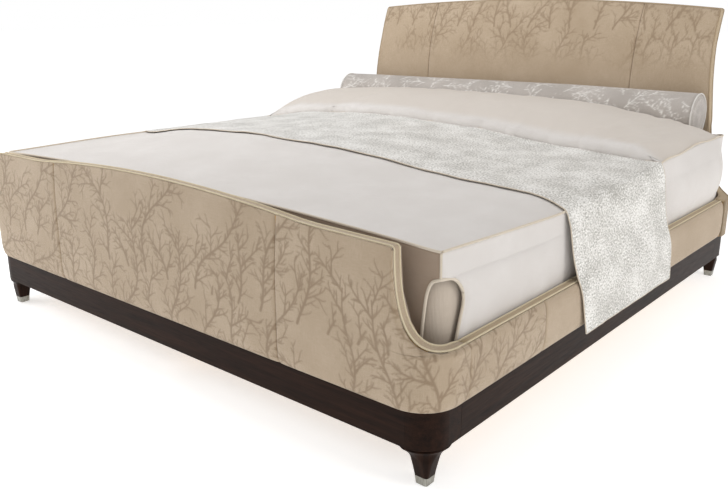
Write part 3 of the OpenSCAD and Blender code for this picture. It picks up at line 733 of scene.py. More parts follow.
def cover_piece(name, q, z, face, thick, line=None, roll=1, seams=(), figure=None, puff=0.0):
    """A padded cover: q and z are [rows][columns] on the unrolled face. It rolls inwards along its free
    edge and dips at its seams. thick is how deep the closed shell's back lies."""
    d = face(z)
    if line is not None:
        h = np.clip(edge_distance(np.abs(q), z, line) / roll, 0, 1)
        d = np.maximum(d, ROLL_D * (1 - np.sqrt(np.clip(1 - (1 - h) ** 2, 0, 1))))
    for at in seams:
        d = d + crease(q, at, 0.0035)
    d = d - puff * noise(stack(q, z), 0.16, 2.0)

    def point(depth):
        x, u = FOOT.plan(q, depth)
        return stack(x, u, z)

    return shell(name, point(d), point(np.maximum(thick, d + 0.0005)), q, z, figure and figure(q, z))


def panel_grid(q0, qmax, zs, columns):
    """q and z arrays [columns][rows] between a straight seam and a free edge."""
    t = np.linspace(0, 1, columns)[:, None]
    q = q0 + t * (qmax(zs)[None, :] - q0)
    return q, np.broadcast_to(zs[None, :], q.shape)


def foot_lift(q, z):
    """Raises the upper rows of a side panel to the sloping top edge."""
    k = np.clip((z - 0.50) / (FOOT_CORNER - 0.50), 0, 1)
    return z + k * (foot_top(np.minimum(q, FOOT_EDGE)) - FOOT_CORNER)


FOOT_LINE = [(x, float(foot_top(x))) for x in np.linspace(FOOT_SEAM, FOOT_EDGE - CORNER_R, 12)]
FOOT_LINE += [(FOOT_EDGE, FOOT_DROP - 0.005)]
FOOT_LINE += [(float(foot_qmax(z)), z) for z in np.concatenate([np.linspace(0.581, 0.365, 40),
                                                                 [0.36, 0.3565, 0.354, 0.352, 0.351]])]
FOOT_LINE += [(FOOT.total - 0.034, RAIL_TOP), (FOOT.total + 0.05, RAIL_TOP)]

cx = np.linspace(-FOOT_SEAM + SEAM_GAP, FOOT_SEAM - SEAM_GAP, 380)[:, None]
ct = np.linspace(0, 1, 150)[None, :]
cz = COVER_Z0 + ct * (foot_top(cx) - 0.0015 - COVER_Z0)
cq = np.broadcast_to(cx, cz.shape)
top_line = [(abs(x), float(foot_top(x))) for x in np.linspace(0, FOOT_SEAM + 0.02, 30)]
centre = cover_piece("footboard_center_cover", cq, cz, foot_profile, COVER_T, top_line, 0.014,
                     (-FOOT_SEAM, FOOT_SEAM), FOOT_FIGURE.sample, puff=FOOT_PUFF)
dress(centre, "jacquard", "tan_jacquard", "root", "footboard_center_panel")
for side, word in ((-1, "left"), (1, "right")):
    q, z = panel_grid(FOOT_SEAM + SEAM_GAP, foot_qmax, z_rows(COVER_Z0, FOOT_CORNER - 0.001, 0.003), 230)
    z = foot_lift(q, z)
    ob = cover_piece(f"footboard_{word}_cover", side * q, z, foot_profile, COVER_T, FOOT_LINE, 0.016,
                     (side * FOOT_SEAM,), FOOT_FIGURE.sample, puff=FOOT_PUFF)
    dress(ob, "jacquard", "tan_jacquard", "root", f"footboard_{word}_panel")


def foot_route(d):
    """Right half of the footboard's top edge at a depth, from the middle to the joint."""
    flat = [(x, d, float(foot_top(x))) for x in np.linspace(0, FOOT_SEAM, 24)]
    flat += [(x, d, float(foot_top(x))) for x in (0.60, 0.66, 0.75, 0.85)]
    for a in (90, 60, 30, 0):
        r = math.radians(a)
        flat.append((FOOT_EDGE - CORNER_R + CORNER_R * math.cos(r), d,
                     FOOT_CORNER - CORNER_R + CORNER_R * math.sin(r)))
    for z in np.arange(0.578, 0.40, -0.008):
        x = float(sweep_x(z, FOOT_EDGE, FOOT_DROP))
        if x < FOOT.flat:
            flat.append((x, d, z))
    pts = list(flat)
    for th in np.linspace(0, math.pi / 2, 30):
        x = FOOT.flat + (FOOT.r - d) * math.sin(th)
        pts.append((x, FOOT.r - (FOOT.r - d) * math.cos(th), float(sweep_z(x, FOOT_EDGE, FOOT_DROP))))
    pts.append((HALF_W - d, FOOT_JOINT - 0.0005, RAIL_TOP))
    return np.array(pts)


def head_route(d):
    pts = [(x, HEAD_BACK - d + float(curl(head_top(x))), float(head_top(x)))
           for x in np.linspace(0, HEAD_CORNER - CORNER_R, 26)]
    zc = HEAD_TOP - HEAD_CROWN
    for a in (60, 30, 0):
        r = math.radians(a)
        z = zc - CORNER_R + CORNER_R * math.sin(r)
        pts.append((HEAD_CORNER - CORNER_R + CORNER_R * math.cos(r), HEAD_BACK - d + float(curl(z)), z))
    for z in np.arange(1.065, 0.585, -0.015):
        x = float(head_side(z)) if z > HEAD_DROP else float(sweep_x(z, HEAD_EDGE, HEAD_DROP))
        if x < HEAD.flat:
            pts.append((x, HEAD_BACK - d + float(curl(z)), z))
    for th in np.linspace(0, math.pi / 2, 34):
        x = HEAD.flat + (HEAD.r - d) * math.sin(th)
        z = float(sweep_z(max(x, HEAD_EDGE), HEAD_EDGE, HEAD_DROP))
        pts.append((x, HEAD_BACK - HEAD.r + (HEAD.r - d) * math.cos(th), z))
    pts.append((HALF_W - d, HEAD_JOINT + 0.0005, RAIL_TOP))
    return np.array(pts)


def both_halves(route, d):
    r = route(d)
    left = r[:0:-1] * np.array([-1, 1, 1])
    return np.concatenate([left, r])


def edge_band(name, route, d0, d1, thick, crown):
    """The strip between two welts, closed below, softly crowned across."""
    rows = [both_halves(route, d) for d in np.linspace(d0, d1, 9)]
    mid = rows[4]
    t = np.gradient(mid, axis=0)
    across = rows[-1] - rows[0]
    n = np.cross(t, across)
    n /= np.linalg.norm(n, axis=1, keepdims=True)
    ref = np.array([0, 0, 1.0])
    sign = np.sign(np.where(np.abs(n[:, 2]) > 0.05, n[:, 2], n[:, 0] * np.sign(mid[:, 0])))
    n *= sign[:, None]
    w = np.linspace(-1, 1, 9)
    top = [r + n * crown * (1 - a * a) for r, a in zip(rows, w)]
    low = [r - n * thick for r in rows]
    p = np.stack(top + low[::-1], 1)
    return grid(name, p, wrap_v=True, caps=True)


band = edge_band("footboard_boxing", foot_route, OUTER_WELT + 0.001, INNER_WELT - 0.001, 0.003, 0.0006)
dress(band, "jacquard", "edge_fabric", "root", "footboard_edge_band")
foot_pipes = join("footboard_double_welt", tube("w1", both_halves(foot_route, OUTER_WELT), WELT_R),
                  tube("w2", both_halves(foot_route, INNER_WELT), WELT_R))
dress(foot_pipes, "piping", "cream_piping", "root", "footboard_piping")

# inner face of the footboard
def lining_face(z):
    return 0 * z + LINING_D0


zs = z_rows(COVER_Z0, FOOT_CORNER - 0.004, 0.006)
for side, word in ((-1, "left"), (1, "right")):
    q, z = panel_grid(FOOT_SEAM, foot_qmax, zs, 90)
    ob = cover_piece(f"footboard_{word}_lining", side * q, foot_lift(q, z), lining_face, LINING_D1)
    dress(ob, "lining", "cream_lining", "root")
cz2 = COVER_Z0 + ct[:, ::3] * (foot_top(cx[::4]) - 0.004 - COVER_Z0)
ob = cover_piece("footboard_center_lining", np.broadcast_to(cx[::4], cz2.shape), cz2, lining_face, LINING_D1)
dress(ob, "lining", "cream_lining", "root", "footboard_lining")

# ------------------------------------------------------------------ side rails
def rail_cover(side, u0, u1, name, step=0.004):
    us = np.linspace(u0, u1, max(2, int((u1 - u0) / step)))[:, None]
    zz = np.concatenate([np.linspace(COVER_Z0, 0.300, 34), np.linspace(0.3025, 0.3485, 24)])[None, :]
    u, z = np.broadcast_arrays(us, zz)
    d = rail_profile(z)
    for at_ in (u0, u1):
        d = d + 0.0030 * np.exp(-((np.abs(u - at_) / 0.0035) ** 1.3))
    d = d - 0.0008 * noise(stack(u, z), 0.16, 4.0)
    front = stack(side * (HALF_W - d), u, z)
    rear = stack(side * (HALF_W - 0 * d - COVER_T), u, z)
    q = side * (FOOT.total + u - FOOT_JOINT)
    return shell(name, front, rear, q, z, FOOT_FIGURE.sample(q, z) * (u < RAIL_SEAM))


for side, word in ((-1, "left"), (1, "right")):
    a = rail_cover(side, FOOT_JOINT + SEAM_GAP, RAIL_SEAM - 0.0004, f"{word}_rail_cover_a", 0.003)
    b = rail_cover(side, RAIL_SEAM + 0.0004, HEAD_JOINT - SEAM_GAP, f"{word}_rail_cover_b", 0.008)
    ob = join(f"{word}_rail_upholstery", a, b)
    dress(ob, "jacquard", "tan_jacquard", "root", f"{word}_rail_cover")
    us = np.linspace(FOOT_JOINT + SEAM_GAP, HEAD_JOINT - SEAM_GAP, 60)
    rows = []
    for d, h in [(0.0185, 0), (0.021, 0.0004), (0.0277, 0.0006), (0.034, 0.0004), (0.0370, 0),
                 (0.0370, -0.003), (0.0185, -0.003)]:
        rows.append(stack(side * (HALF_W - d) + 0 * us, us, RAIL_TOP + h + 0 * us))
    strip = grid(f"{word}_rail_boxing", np.stack(rows, 1), wrap_v=True, caps=True)
    dress(strip, "band", "edge_fabric", "root")
    cords = [tube(f"c{d}", [(side * (HALF_W - d), FOOT_JOINT + SEAM_GAP, RAIL_TOP),
                            (side * (HALF_W - d), HEAD_JOINT - SEAM_GAP, RAIL_TOP)], WELT_R, step=0.02)
             for d in (OUTER_WELT, INNER_WELT)]
    dress(join(f"{word}_rail_double_welt", *cords), "piping", "cream_piping", "root", f"{word}_rail_welt")
    uu, zz = np.meshgrid(us, np.linspace(COVER_Z0, RAIL_TOP - 0.004, 12), indexing="ij")
    ob = shell(f"{word}_rail_inner_cloth", *(stack(side * (HALF_W - d) + 0 * uu, uu, zz)
                                             for d in (LINING_D1, LINING_D0)))
    dress(ob, "lining", "cream_lining", "root", f"{word}_rail_lining")

# ------------------------------------------------------------------ headboard
HEAD_FACE = WALL_T + 0.0004
HEAD_UNDER = 0.0355
HEAD_WELT_D = 0.0022


def head_figure(q, z):
    return HEAD_FIGURE.sample(q, z) * smooth(0.80, 0.98, z) * 0.9


HEAD_LINE = [(x, float(head_top(x))) for x in np.linspace(0, HEAD_CORNER - CORNER_R, 24)]
HEAD_LINE += [(HEAD_CORNER, 1.078)] + [(float(head_qmax(z)), z) for z in np.linspace(1.07, 0.605, 30)]
HEAD_LINE += [(float(head_qmax(z)), z) for z in np.concatenate([np.linspace(0.595, 0.365, 40),
                                                                 [0.36, 0.3565, 0.354, 0.352]])]
HEAD_LINE += [(HEAD.total - 0.036, RAIL_TOP), (HEAD.total + 0.05, RAIL_TOP)]


def head_cover(name, q, z, d_face, d_back, figure, seams, roll_sign):
    """A cover on the headboard. d is the depth from the back, so the front face has the larger depth."""
    h = np.clip(edge_distance(np.abs(q), z, HEAD_LINE) / 0.010, 0, 1)
    drop = 0.0045 * (1 - np.sqrt(np.clip(1 - (1 - h) ** 2, 0, 1)))
    for at in seams:
        drop = drop + crease(q, at, 0.0030)
    drop = drop - 0.0008 * noise(stack(q, z), 0.20, 3.0)
    d1 = d_face + roll_sign * drop

    def point(depth):
        x, u = HEAD.plan(q, depth)
        return stack(x, u + curl(z), z)

    return shell(name, point(d1), point(0 * d1 + d_back), q, z, figure(q, z) if figure else 0 * q)


hx = np.linspace(-HEAD_SEAM + SEAM_GAP, HEAD_SEAM - SEAM_GAP, 300)[:, None]
ht = np.linspace(0, 1, 230)[None, :]
hz = COVER_Z0 + ht * (head_top(hx) - 0.002 - COVER_Z0)
hq = np.broadcast_to(hx, hz.shape)
ob = head_cover("headboard_center_cover", hq, hz, HEAD_FACE, HEAD_UNDER, head_figure,
                (-HEAD_SEAM, HEAD_SEAM), -1)
dress(ob, "jacquard", "tan_jacquard", "root", "headboard_center_panel")
for side, word in ((-1, "left"), (1, "right")):
    q, z = panel_grid(HEAD_SEAM + SEAM_GAP, head_qmax, z_rows(COVER_Z0, 1.0, 0.0045), 130)
    # the top rows follow the crowned edge
    top = head_top(np.minimum(q, HEAD_CORNER)) - 0.002
    k = np.clip((z - 0.85) / 0.15, 0, 1)
    z = z + k * (top - 1.0)
    q = np.where(z > HEAD_DROP, HEAD_SEAM + (q - HEAD_SEAM) * (head_qmax(z) - HEAD_SEAM)
                 / (q[-1:] - HEAD_SEAM), q)
    corner = np.clip(z - (HEAD_TOP - HEAD_CROWN - CORNER_R), 0, CORNER_R)
    q = np.where((z > 1.0) & (q > HEAD_CORNER - CORNER_R),
                 HEAD_CORNER - CORNER_R + (q - HEAD_CORNER + CORNER_R)
                 * np.sqrt(np.clip(1 - (corner / CORNER_R) ** 2, 0.02, 1)), q)
    ob = head_cover(f"headboard_{word}_cover", side * q, z, HEAD_FACE, HEAD_UNDER, head_figure,
                    (side * HEAD_SEAM,), -1)
    dress(ob, "jacquard", "tan_jacquard", "root", f"headboard_{word}_panel")
    if side < 0:
        back_q, back_z = q, z
backs = []
q, z = hq[::4, ::3], hz[::4, ::3]
backs.append(head_cover("b0", q, z, -0.0004, 0.0085, None, (-HEAD_SEAM, HEAD_SEAM), 1))
for side in (-1, 1):
    backs.append(head_cover("b1", side * back_q[::2], back_z[::2], -0.0004, 0.0085, None,
                            (side * HEAD_SEAM,), 1))
ob = join("headboard_back_cloth", *backs)
dress(ob, "back", "back_fabric", "root", "headboard_back_cover")
ob = edge_band("headboard_boxing", head_route, 0.0045, WALL_T - 0.0045, 0.003, 0.0010)
dress(ob, "band", "edge_fabric", "root", "headboard_edge_band")
ob = join("headboard_welts", tube("w3", both_halves(head_route, HEAD_WELT_D), 0.0028),
          tube("w4", both_halves(head_route, WALL_T - HEAD_WELT_D), 0.0028))
dress(ob, "selfpiping", "self_piping", "root", "headboard_piping")


# ------------------------------------------------------------------ legs
def leg_half(z, w, flare):
    f = np.clip(z - (PLINTH_Z - flare), 0, None) / flare
    return w / 2 + 0.013 * (z / 0.080) ** 1.3 + flare * (1 - np.sqrt(np.clip(1 - f * f * 0.999, 0, 1)))


def leg_rings(zs, w, flare, limit, inner, sx, rear, grow=0.0, n=14):
    out = []
    inward = 0.042 if rear else 0.046
    cx_ = sx * (PLINTH_X - inward)
    cy_ = (PLINTH_U1 - inward) if rear else (PLINTH_U0 + inward)
    for z in zs:
        h = float(leg_half(z, w, flare)) + grow
        o, i = min(h, limit + grow), min(h, inner + grow)
        ro = min(0.35 * h + 3.0 * z * z + 0.042 * max(0.0, (z - 0.066) / 0.036) ** 1.6, o * 1.9)
        ri = 0.32 * h
        ring = []
        for base, sxx, syy, ex, ey, r in ((-90, 1, -1, o, o, ro), (0, 1, 1, o, i, ri),
                                          (90, -1, 1, i, i, ri), (180, -1, -1, i, o, ri)):
            for k in range(n):
                a = math.radians(base + 90 * k / (n - 1))
                ring.append((sxx * (ex - r) + r * math.cos(a), syy * (ey - r) + r * math.sin(a)))
        ring = np.array(ring)
        x = cx_ + sx * ring[:, 0]
        y = cy_ + (-1 if rear else 1) * ring[:, 1]
        out.append(np.stack([x, y, 0 * x + z], 1))
    return np.array(out)


for rear, end in ((False, "front"), (True, "rear")):
    w, flare, limit, inner = (0.030, 0.012, 0.042, 0.040) if rear else (0.034, 0.030, 0.046, 0.068)
    for sx, word in ((-1, "left"), (1, "right")):
        zs = np.concatenate([[0.0225], np.linspace(0.023, 0.072, 12),
                             np.linspace(0.075, PLINTH_Z - 0.0004, 18)])
        leg = grid(f"{end}_{word}_leg_shape", leg_rings(zs, w, flare, limit, inner, sx, rear), wrap_v=True,
                   caps=True)
        dress(leg, "wood_z", "espresso_wood", "root", f"{end}_{word}_leg")
        zs = np.array([0.0, 0.0006, 0.002, 0.006, 0.012, 0.018, 0.0212, 0.0226, 0.0230])
        cap = leg_rings(zs, w, flare, limit, limit, sx, rear, grow=0.0004)
        c = cap.mean(1, keepdims=True)
        cap[0] = c[0] + (cap[0] - c[0]) * 0.95
        cap[1] = c[1] + (cap[1] - c[1]) * 0.985
        cap[-1] = c[-1] + (cap[-1] - c[-1]) * 0.97
        cup = grid(f"{end}_{word}_ferrule_shape", cap, wrap_v=True, caps=True)
        dress(cup, "pewter", "pewter_metal", "root", f"{end}_{word}_ferrule")

# ------------------------------------------------------------------ bedding
BED_X = 0.975
BED_U0 = 0.092
BED_U1 = 2.112
BED_R = 0.082
BED_HEM = 0.300
TUCK_U = 1.402
CREST_U = 1.760
BOLSTER_U, BOLSTER_Z, BOLSTER_R = 2.028, 0.672, 0.094
BOLSTER_X0, BOLSTER_X1 = -0.980, 0.880
RUNNER_U0, RUNNER_U1 = 0.689, 1.384
RUNNER_HEM = 0.185
COVERLET_T = 0.003


def table(xs, ys, blur=0.05, n=801):
    """A smooth curve through a few measured heights."""
    grid_x = np.linspace(xs[0] - 0.2, xs[-1] + 0.2, n)
    v = np.interp(grid_x, xs, ys)
    step = grid_x[1] - grid_x[0]
    k = np.arange(-int(3 * blur / step), int(3 * blur / step) + 1) * step
    w = np.exp(-0.5 * (k / blur) ** 2)
    v = np.convolve(np.pad(v, len(k) // 2, mode="edge"), w / w.sum(), mode="valid")
    return lambda x: np.interp(x, grid_x, v)


edge_right = table([0.09, 0.344, 0.657, 1.0, 1.340, 1.42, 1.569, 1.668, 1.80, 1.96, 2.126],
                   [0.578, 0.566, 0.553, 0.562, 0.580, 0.590, 0.596, 0.604, 0.608, 0.604, 0.598], 0.03)
edge_left = table([0.09, 0.5, 1.3, 2.12], [0.578, 0.585, 0.576, 0.565], 0.08)
middle = table([-0.975, -0.853, -0.7, -0.3, 0.1, 0.33, 0.56, 0.75, 0.9, 0.975],
               [0.570, 0.590, 0.620, 0.645, 0.636, 0.624, 0.603, 0.592, 0.588, 0.585], 0.06)
crest = table([-0.965, -0.837, -0.729, -0.577, -0.329, -0.083, 0.12, 0.261, 0.396, 0.525, 0.648, 0.767, 0.883,
               0.956], [0.672, 0.691, 0.703, 0.712, 0.719, 0.724, 0.720, 0.721, 0.718, 0.710, 0.695, 0.677,
                        0.655, 0.634], 0.04)


lip_height = table([-0.975, -0.95, -0.90, -0.80, 0.60, 0.75, 0.88, 0.935, 0.975],
                   [0.004, 0.016, 0.034, 0.040, 0.042, 0.050, 0.050, 0.026, 0.004], 0.02)


def bolster_z(x):
    """The bolster sags towards its left end."""
    return BOLSTER_Z - 0.020 * np.clip((0.30 - x) / 1.28, 0, 1)


def bed_half(u):
    k = np.clip(u - (BED_U1 - BED_R), 0, BED_R)
    return BED_X - BED_R + np.sqrt(np.clip(BED_R**2 - k**2, 0, None))


def to_edge(z, x, u, start, power):
    e = np.where(x > 0, edge_right(u), edge_left(u))
    half = bed_half(u)
    t = np.clip((np.abs(x) - start) / (half - start), 0, 1)
    return z + (e - z) * t**power


def wrinkle(x, u):
    """Soft creases of the coverlet: long ones along the bed, and short ones near the corner."""
    long_ = noise(stack(x * 1.0 + 0.25 * u, u * 0.35), 0.16, 1.0)
    cross = noise(stack(x * 0.45 - 0.2 * u, u * 1.1), 0.13, 3.0)
    fade = np.clip((BED_X - np.abs(x)) / 0.06, 0, 1) * np.clip((u - BED_U0) / 0.05, 0, 1)
    near = np.exp(-np.abs(u - 0.10) / 0.18) * noise(stack(x / 0.09 - u, (u + 0.3 * x) / 0.05), 1.0, 5.0)
    return (0.0042 * long_ + 0.0034 * cross + 0.0046 * near) * fade


def bed_top(x, u):
    front = 0.577 + 0.026 * (1 - (x / BED_X) ** 2)
    k = smooth(BED_U0, 0.60, u)
    z = to_edge(front * (1 - k) + middle(x) * k, x, u, 0.86, 2.0)
    dip = np.clip((u - (TUCK_U - 0.03)) / 0.03, 0, 1)
    return z + wrinkle(x, u) - 0.004 * dip**2


def under_bolster(x, u):
    k = np.clip(1 - ((u - BOLSTER_U) / 0.0955) ** 2, 0, 1)
    z = bolster_z(x) - 0.0955 * np.sqrt(k)
    z = np.where(u > BOLSTER_U, bolster_z(x) - 0.0955, z)
    z = np.where(u < BOLSTER_U - 0.0955, 9.0, z)
    past = smooth(BOLSTER_X1 + 0.006, BOLSTER_X1 + 0.04, x)
    return z + past * 0.02


def pillow_top(x, u):
    z0 = bed_top(x, np.full_like(u, TUCK_U))
    t = np.clip((u - 1.390) / (CREST_U - 1.390), 0, 1)
    lip = np.minimum(lip_height(x), 0.8 * (crest(x) - z0))
    z = z0 + lip + (crest(x) - z0 - lip) * (1 - (1 - t) ** 2.0)
    z = z - 0.010 * smooth(CREST_U, 1.930, u)
    z = to_edge(z, x, u, 0.885, 3.0)
    soft = noise(stack(x * 1.3, u * 0.7), 0.13, 6.0) * 0.0065
    pinch = noise(stack(x / 0.040, (u - 1.39) / 0.12), 1.0, 8.0) * 0.0055 * np.exp(-(u - 1.39) / 0.06)
    fan = noise(stack((x - 0.5 * u) / 0.045, (u + 0.5 * x) / 0.22), 1.0, 9.0) * 0.0065
    pinch = pinch + fan * smooth(0.55, 0.75, x)
    fade = np.clip((BED_X - np.abs(x)) / 0.08, 0, 1)
    z = z + (soft + pinch) * fade
    return np.minimum(z, under_bolster(x, u))


front_u = np.concatenate([[BED_U0], np.arange(BED_U0 + 0.004, TUCK_U - 0.006, 0.008),
                          [TUCK_U - 0.004, TUCK_U]])
zone_u = np.concatenate([np.arange(1.392, 1.925, 0.008), np.arange(1.927, 1.95, 0.0012),
                         np.arange(1.952, BED_U1 - 0.003, 0.007), [BED_U1 - 0.0015, BED_U1]])
tx = np.linspace(-1, 1, 241)
tx = np.sign(tx) * (1 - (1 - np.abs(tx)) ** 1.12)
u_, t_ = np.meshgrid(front_u, tx, indexing="ij")
x_ = t_ * bed_half(u_)
flat_part = stack(x_, u_, bed_top(x_, u_))
xs = tx * BED_X
z0 = bed_top(xs, np.full_like(xs, TUCK_U))
lip_k = np.minimum(lip_height(xs), 0.8 * (crest(xs) - z0)) / 0.042
bulge = 1 + 0.5 * noise(stack(xs / 0.06, 0 * xs), 1.0, 12.0)
LIP = ((-0.010, -0.002), (-0.018, 0.002), (-0.0235, 0.010), (-0.0245, 0.020), (-0.0220, 0.030),
       (-0.0170, 0.038))
lip_part = np.stack([stack(xs, TUCK_U + du * lip_k * bulge + 0.0004 * n, z0 + dz * lip_k)
                     for n, (du, dz) in enumerate(LIP)])
u_, t_ = np.meshgrid(zone_u, tx, indexing="ij")
x_ = t_ * bed_half(u_)
zone_part = stack(x_, u_, pillow_top(x_, u_))
top_p = np.concatenate([flat_part, lip_part, zone_part], 0)
# Painted shade: from the tuck back over the pillows the coverlet is darkened, carried in its figure
# attribute.
pillow_painted_shade = smooth(1.385, 1.45, top_p[..., 1]) * 0.75
coverlet_top = grid("coverlet_top", top_p, figure=pillow_painted_shade)
thicken(coverlet_top, COVERLET_T, 1 if coverlet_top.data.polygons[0].normal.z < 0 else -1)

# side panels with the arched openings at the front corners
ARCH_Z = [0.300, 0.347, 0.375, 0.407, 0.425, 0.442, 0.462, 0.479, 0.494, 0.503, 0.509, 0.512]
ARCH_U = [0.152, 0.160, 0.168, 0.178, 0.184, 0.186, 0.182, 0.171, 0.156, 0.142, 0.124, 0.103]
ARCH_X = [0.924, 0.926, 0.928, 0.931, 0.933, 0.935, 0.938, 0.942, 0.948, 0.954, 0.962, 0.970]


def arch_u(z):
    return np.where(z > 0.5125, BED_U0 + 0.001, np.interp(z, ARCH_Z, ARCH_U))


def arch_x(z):
    return np.where(z > 0.5125, BED_X - 0.001, np.interp(z, ARCH_Z, ARCH_X))


def bed_plan(s):
    """(x, u) at a distance along the coverlet's right side, round the rear corner and along the back."""
    straight = BED_U1 - BED_R
    th = np.clip((s - straight) / BED_R, 0, math.pi / 2)
    past = np.clip(s - straight - BED_R * math.pi / 2, 0, None)
    x = BED_X - BED_R + BED_R * np.cos(th) - past
    u = np.where(s < straight, s, straight + BED_R * np.sin(th))
    return x, u


def edge_height(side, x, u):
    near_back = smooth(BED_U1 - 0.10, BED_U1, u)
    e = edge_right(u) if side > 0 else edge_left(u)
    return e + (BOLSTER_Z - 0.0955 - e) * near_back * smooth(0, 0.12, BED_X - x)


panel_z = np.concatenate([np.linspace(0.577, 0.5135, 9), [0.5124, 0.5118, 0.5105, 0.508, 0.505, 0.501, 0.497],
                          np.arange(0.490, BED_HEM, -0.007), [BED_HEM]])
vs = (0.577 - panel_z) / (0.577 - BED_HEM)
S_END = BED_U1 - BED_R + BED_R * math.pi / 2 + BED_X - BED_R
for side, word in ((-1, "left"), (1, "right")):
    w_ = np.linspace(0, 1, 420)[:, None]
    start = arch_u(panel_z)[None, :]
    s_ = start + w_ * (S_END - start)
    x, u = bed_plan(s_)
    ztop = edge_height(side, x, u)
    v_ = np.broadcast_to(vs[None, :], s_.shape)
    z = ztop - v_ * (ztop - BED_HEM)
    puff = 0.007 * np.sin(math.pi * np.clip(v_ * 0.95, 0, 1)) + 0.004 * v_
    fat = 0.030 * smooth(1.40, 1.62, u) * (1 - smooth(BED_U1 - 0.16, BED_U1 - 0.05, u))
    puff = puff + fat * np.sin(math.pi * np.clip((ztop - z) / (ztop - 0.345), 0, 1))
    crinkle = noise(stack((s_ + 0.3 * z) / 0.09, z / 0.22), 1.0, 20.0 + side)
    puff = puff + 0.0034 * crinkle * np.sin(math.pi * v_ * 0.9)
    puff = puff * np.clip((s_ - start) / 0.02, 0.0, 1)
    puff = np.minimum(puff, np.where(z < RAIL_TOP, 0.0085, 9.0))
    th = np.clip((s_ - (BED_U1 - BED_R)) / BED_R, 0, math.pi / 2)
    k = 1 - 0.9 * smooth(BED_U1 - BED_R - 0.05, BED_U1 - BED_R + 0.02, s_)
    p = stack(side * (x + puff * k * np.cos(th)), u + puff * k * np.sin(th), z)
    panel = grid(f"coverlet_{word}_panel", p)
    thicken(panel, COVERLET_T)
    dress(panel, "coverlet", "ivory_matelasse", "bedding")

w_ = np.linspace(-1, 1, 240)[:, None]
x = w_ * arch_x(panel_z)[None, :]
v_ = np.broadcast_to(vs[None, :], x.shape)
ztop = bed_top(x, np.full_like(x, BED_U0))
z = ztop - v_ * (ztop - BED_HEM)
puff = 0.006 * np.sin(math.pi * v_) * (1 - w_**6) + 0.002 * noise(stack(x / 0.12, z / 0.3), 1.0, 31.0)
front_panel = grid("coverlet_front_panel", stack(x, BED_U0 - puff, z))
thicken(front_panel, COVERLET_T)
# The front panel wears the darker cloth: painted shade, not a different fabric.
dress(front_panel, "shade", "ivory_matelasse", "bedding")
dress(coverlet_top, "coverlet", "ivory_matelasse", "bedding", "coverlet")

# cords of the coverlet
cords = []
for side in (-1, 1):
    s = np.arange(BED_U0 + 0.003, S_END, 0.012)
    x, u = bed_plan(s)
    z = edge_height(side, x, u)
    route = stack(side * (x + 0.001), u, z + 0.0012)
    wave = np.where((u > 1.38) & (u < 2.0), 1.0, 0.0) * 0.0030 * np.sin((u - 1.38) / 0.045)
    route[:, 2] += wave
    cords.append(tube("cord", route, 0.0033, step=0.006, sides=10))
    arch = [(side * float(np.interp(z, ARCH_Z, ARCH_X)), BED_U0 - 0.002, z)
            for z in np.arange(0.302, 0.512, 0.006)]
    arch += [(side * 0.9740, BED_U0 - 0.0005, 0.5125), (side * 0.9765, BED_U0 + 0.004, 0.5128)]
    arch += [(side * (BED_X + 0.003), float(np.interp(z, ARCH_Z, ARCH_U)), z)
             for z in np.arange(0.511, 0.301, -0.004)]
    cords.append(tube("arch", arch, 0.0040, step=0.004, sides=10))
    cords.append(tube("corner", [(side * (BED_X + 0.0005), BED_U0, 0.576),
                                 (side * (BED_X + 0.001), BED_U0, 0.513)], 0.0030, sides=10))
x = np.linspace(-BED_X, BED_X, 160)
route = stack(x, 0 * x + BED_U0 - 0.001, bed_top(x, 0 * x + BED_U0) + 0.0012)
cords.append(tube("front", route, 0.0033, step=0.008, sides=10))
coverlet_cord = join("coverlet_piping", *cords)
dress(coverlet_cord, "cord", "ivory_matelasse", "bedding")


# ------------------------------------------------------------------ mattress, foundation and pillows
def soft_block(name, x1, u0, u1, r0, r1, rings):
    """A block of upholstery: rounded plan corners, with the side profile as (height, inset) pairs."""
    out = []
    for z, inset in rings:
        ring = []
        for sx, su, r, ang in ((1, 0, r0, -90), (1, 1, r1, 0), (-1, 1, r1, 90), (-1, 0, r0, 180)):
            rr = max(r - inset, 0.004)
            cx_ = sx * (x1 - inset - rr)
            cu = (u1 - inset - rr) if su else (u0 + inset + rr)
            for a in np.linspace(ang, ang + 90, 12):
                ring.append((cx_ + rr * math.cos(math.radians(a)), cu + rr * math.sin(math.radians(a)), z))
        ring = np.array(ring)
        dense = []
        for a, b in zip(ring, np.roll(ring, -1, 0)):
            n = max(1, int(np.hypot(*(b - a)[:2]) / 0.03))
            dense += [a + (b - a) * k / n for k in range(n)]
        out.append(np.array(dense))
    n = min(len(r) for r in out)
    out = [r[np.linspace(0, len(r) - 1, n).astype(int)] for r in out]
    return grid(name, np.array(out), wrap_v=True, caps=True)


mattress = soft_block("mattress_soft", 0.964, 0.102, 2.100, 0.055, 0.078,
                      [(0.2885, 0.030), (0.290, 0.014), (0.295, 0.005), (0.302, 0.001), (0.32, 0.0),
                       (0.36, -0.001), (0.42, -0.001), (0.47, 0.0), (0.497, 0.004), (0.512, 0.010),
                       (0.526, 0.020), (0.538, 0.036), (0.546, 0.060), (0.550, 0.10), (0.551, 0.2),
                       (0.551, 0.5)])
dress(mattress, "ticking", "ticking", "bedding", "mattress")
lo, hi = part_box("foundation")
x1 = float(hi[0])
u0, u1 = float(lo[1]) - FOOT_Y, float(hi[1]) - FOOT_Y
z0, z1 = float(lo[2]), float(hi[2])
foundation = soft_block("foundation_soft", x1, u0, u1, 0.055, 0.085,
                        [(z0, 0.02), (z0 + 0.003, 0.006), (z0 + 0.01, 0.001), (z0 + 0.05, 0.0),
                         (z1 - 0.02, 0.0), (z1 - 0.006, 0.003), (z1 - 0.001, 0.012), (z1, 0.06), (z1, 0.5)])
dress(foundation, "ticking", "ticking", "root", "foundation")
